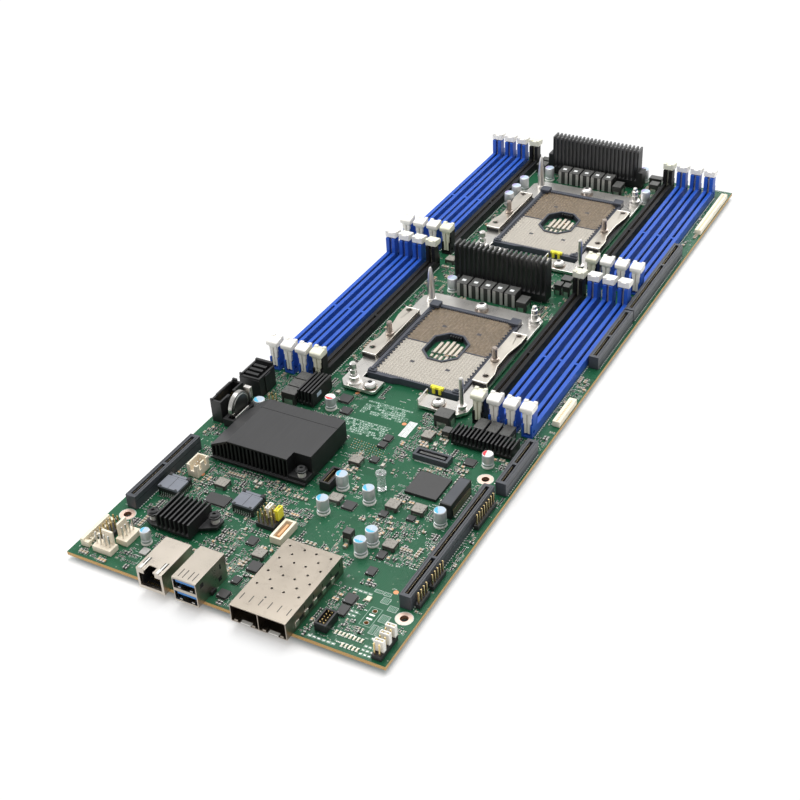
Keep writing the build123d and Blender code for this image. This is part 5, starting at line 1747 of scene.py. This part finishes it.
def light_scene(context, settings):
    world = bpy.data.worlds.new("surround")
    world.use_nodes = True
    tree = world.node_tree
    plain, seen = tree.nodes["Background"], tree.nodes.new("ShaderNodeBackground")
    for glow, strength in ((plain, settings.surround), (seen, 1.0)):
        glow.inputs["Color"].default_value = WHITE
        glow.inputs["Strength"].default_value = strength
    path = tree.nodes.new("ShaderNodeLightPath")
    camera_ray = path.outputs["Is Camera Ray"]
    blend_on(tree, camera_ray, plain.outputs[0], seen.outputs[0], "World Output")
    context.scene.world = world
    for name, place, size, share in LAMPS:
        data = bpy.data.lights.new(name, "AREA")
        data.size = size
        data.energy = settings.lamp_power * share
        lamp = add_to_scene(name, data)
        lamp.location = place
        lamp.rotation_mode = "QUATERNION"
        lamp.rotation_quaternion = (-Vector(place)).to_track_quat("-Z", "Y")


class BOARD_OT_set_stage(bpy.types.Operator):
    """Sets the camera, lamps, floor and surround"""

    bl_idname = "board.set_stage"
    bl_label = "Set the stage"

    def execute(self, context):
        settings = context.scene.stage_settings
        set_camera(context)
        lay_floor(settings)
        light_scene(context, settings)
        context.scene.view_settings.view_transform = "Standard"
        return {"FINISHED"}


class BOARD_PT_panel(bpy.types.Panel):
    """Lists the board's settings and steps"""

    bl_idname = "BOARD_PT_panel"
    bl_label = "Server Board"
    bl_space_type = "VIEW_3D"
    bl_region_type = "UI"
    bl_category = "Server Board"

    def draw(self, context):
        board = context.scene.board_settings
        for key in ("small_parts", "seed", "edge_rounding", "pin_height"):
            self.layout.prop(board, key)
        stage = context.scene.stage_settings
        for key in ("floor_colour", "lamp_power", "surround"):
            self.layout.prop(stage, key)
        for step in STEPS:
            self.layout.operator(step.bl_idname)


STEPS = (
    BOARD_OT_set_stage,
    BOARD_OT_finish_nodes,
    BOARD_OT_make_latches,
    BOARD_OT_print_board,
    BOARD_OT_place_small_parts,
    BOARD_OT_make_cans,
    BOARD_OT_fit_sockets,
    BOARD_OT_fit_ports,
    BOARD_OT_fit_headers,
    BOARD_OT_make_fasteners,
    BOARD_OT_make_cell,
)
CLASSES = (BoardSettings, StageSettings, BOARD_PT_panel) + STEPS


def register():
    for item in CLASSES:
        bpy.utils.register_class(item)
    bpy.types.Scene.board_settings = bpy.props.PointerProperty(type=BoardSettings)
    bpy.types.Scene.stage_settings = bpy.props.PointerProperty(type=StageSettings)


def unregister():
    del bpy.types.Scene.board_settings
    del bpy.types.Scene.stage_settings
    for item in reversed(CLASSES):
        bpy.utils.unregister_class(item)


def main():
    register()
    bpy.ops.board.set_stage()
    bpy.ops.board.finish_nodes()
    bpy.ops.board.make_latches()
    bpy.ops.board.print_board()
    bpy.ops.board.place_small_parts()
    bpy.ops.board.make_cans()
    bpy.ops.board.fit_sockets()
    bpy.ops.board.fit_ports()
    bpy.ops.board.fit_headers()
    bpy.ops.board.make_fasteners()
    bpy.ops.board.make_cell()


if __name__ == "__main__":
    main()
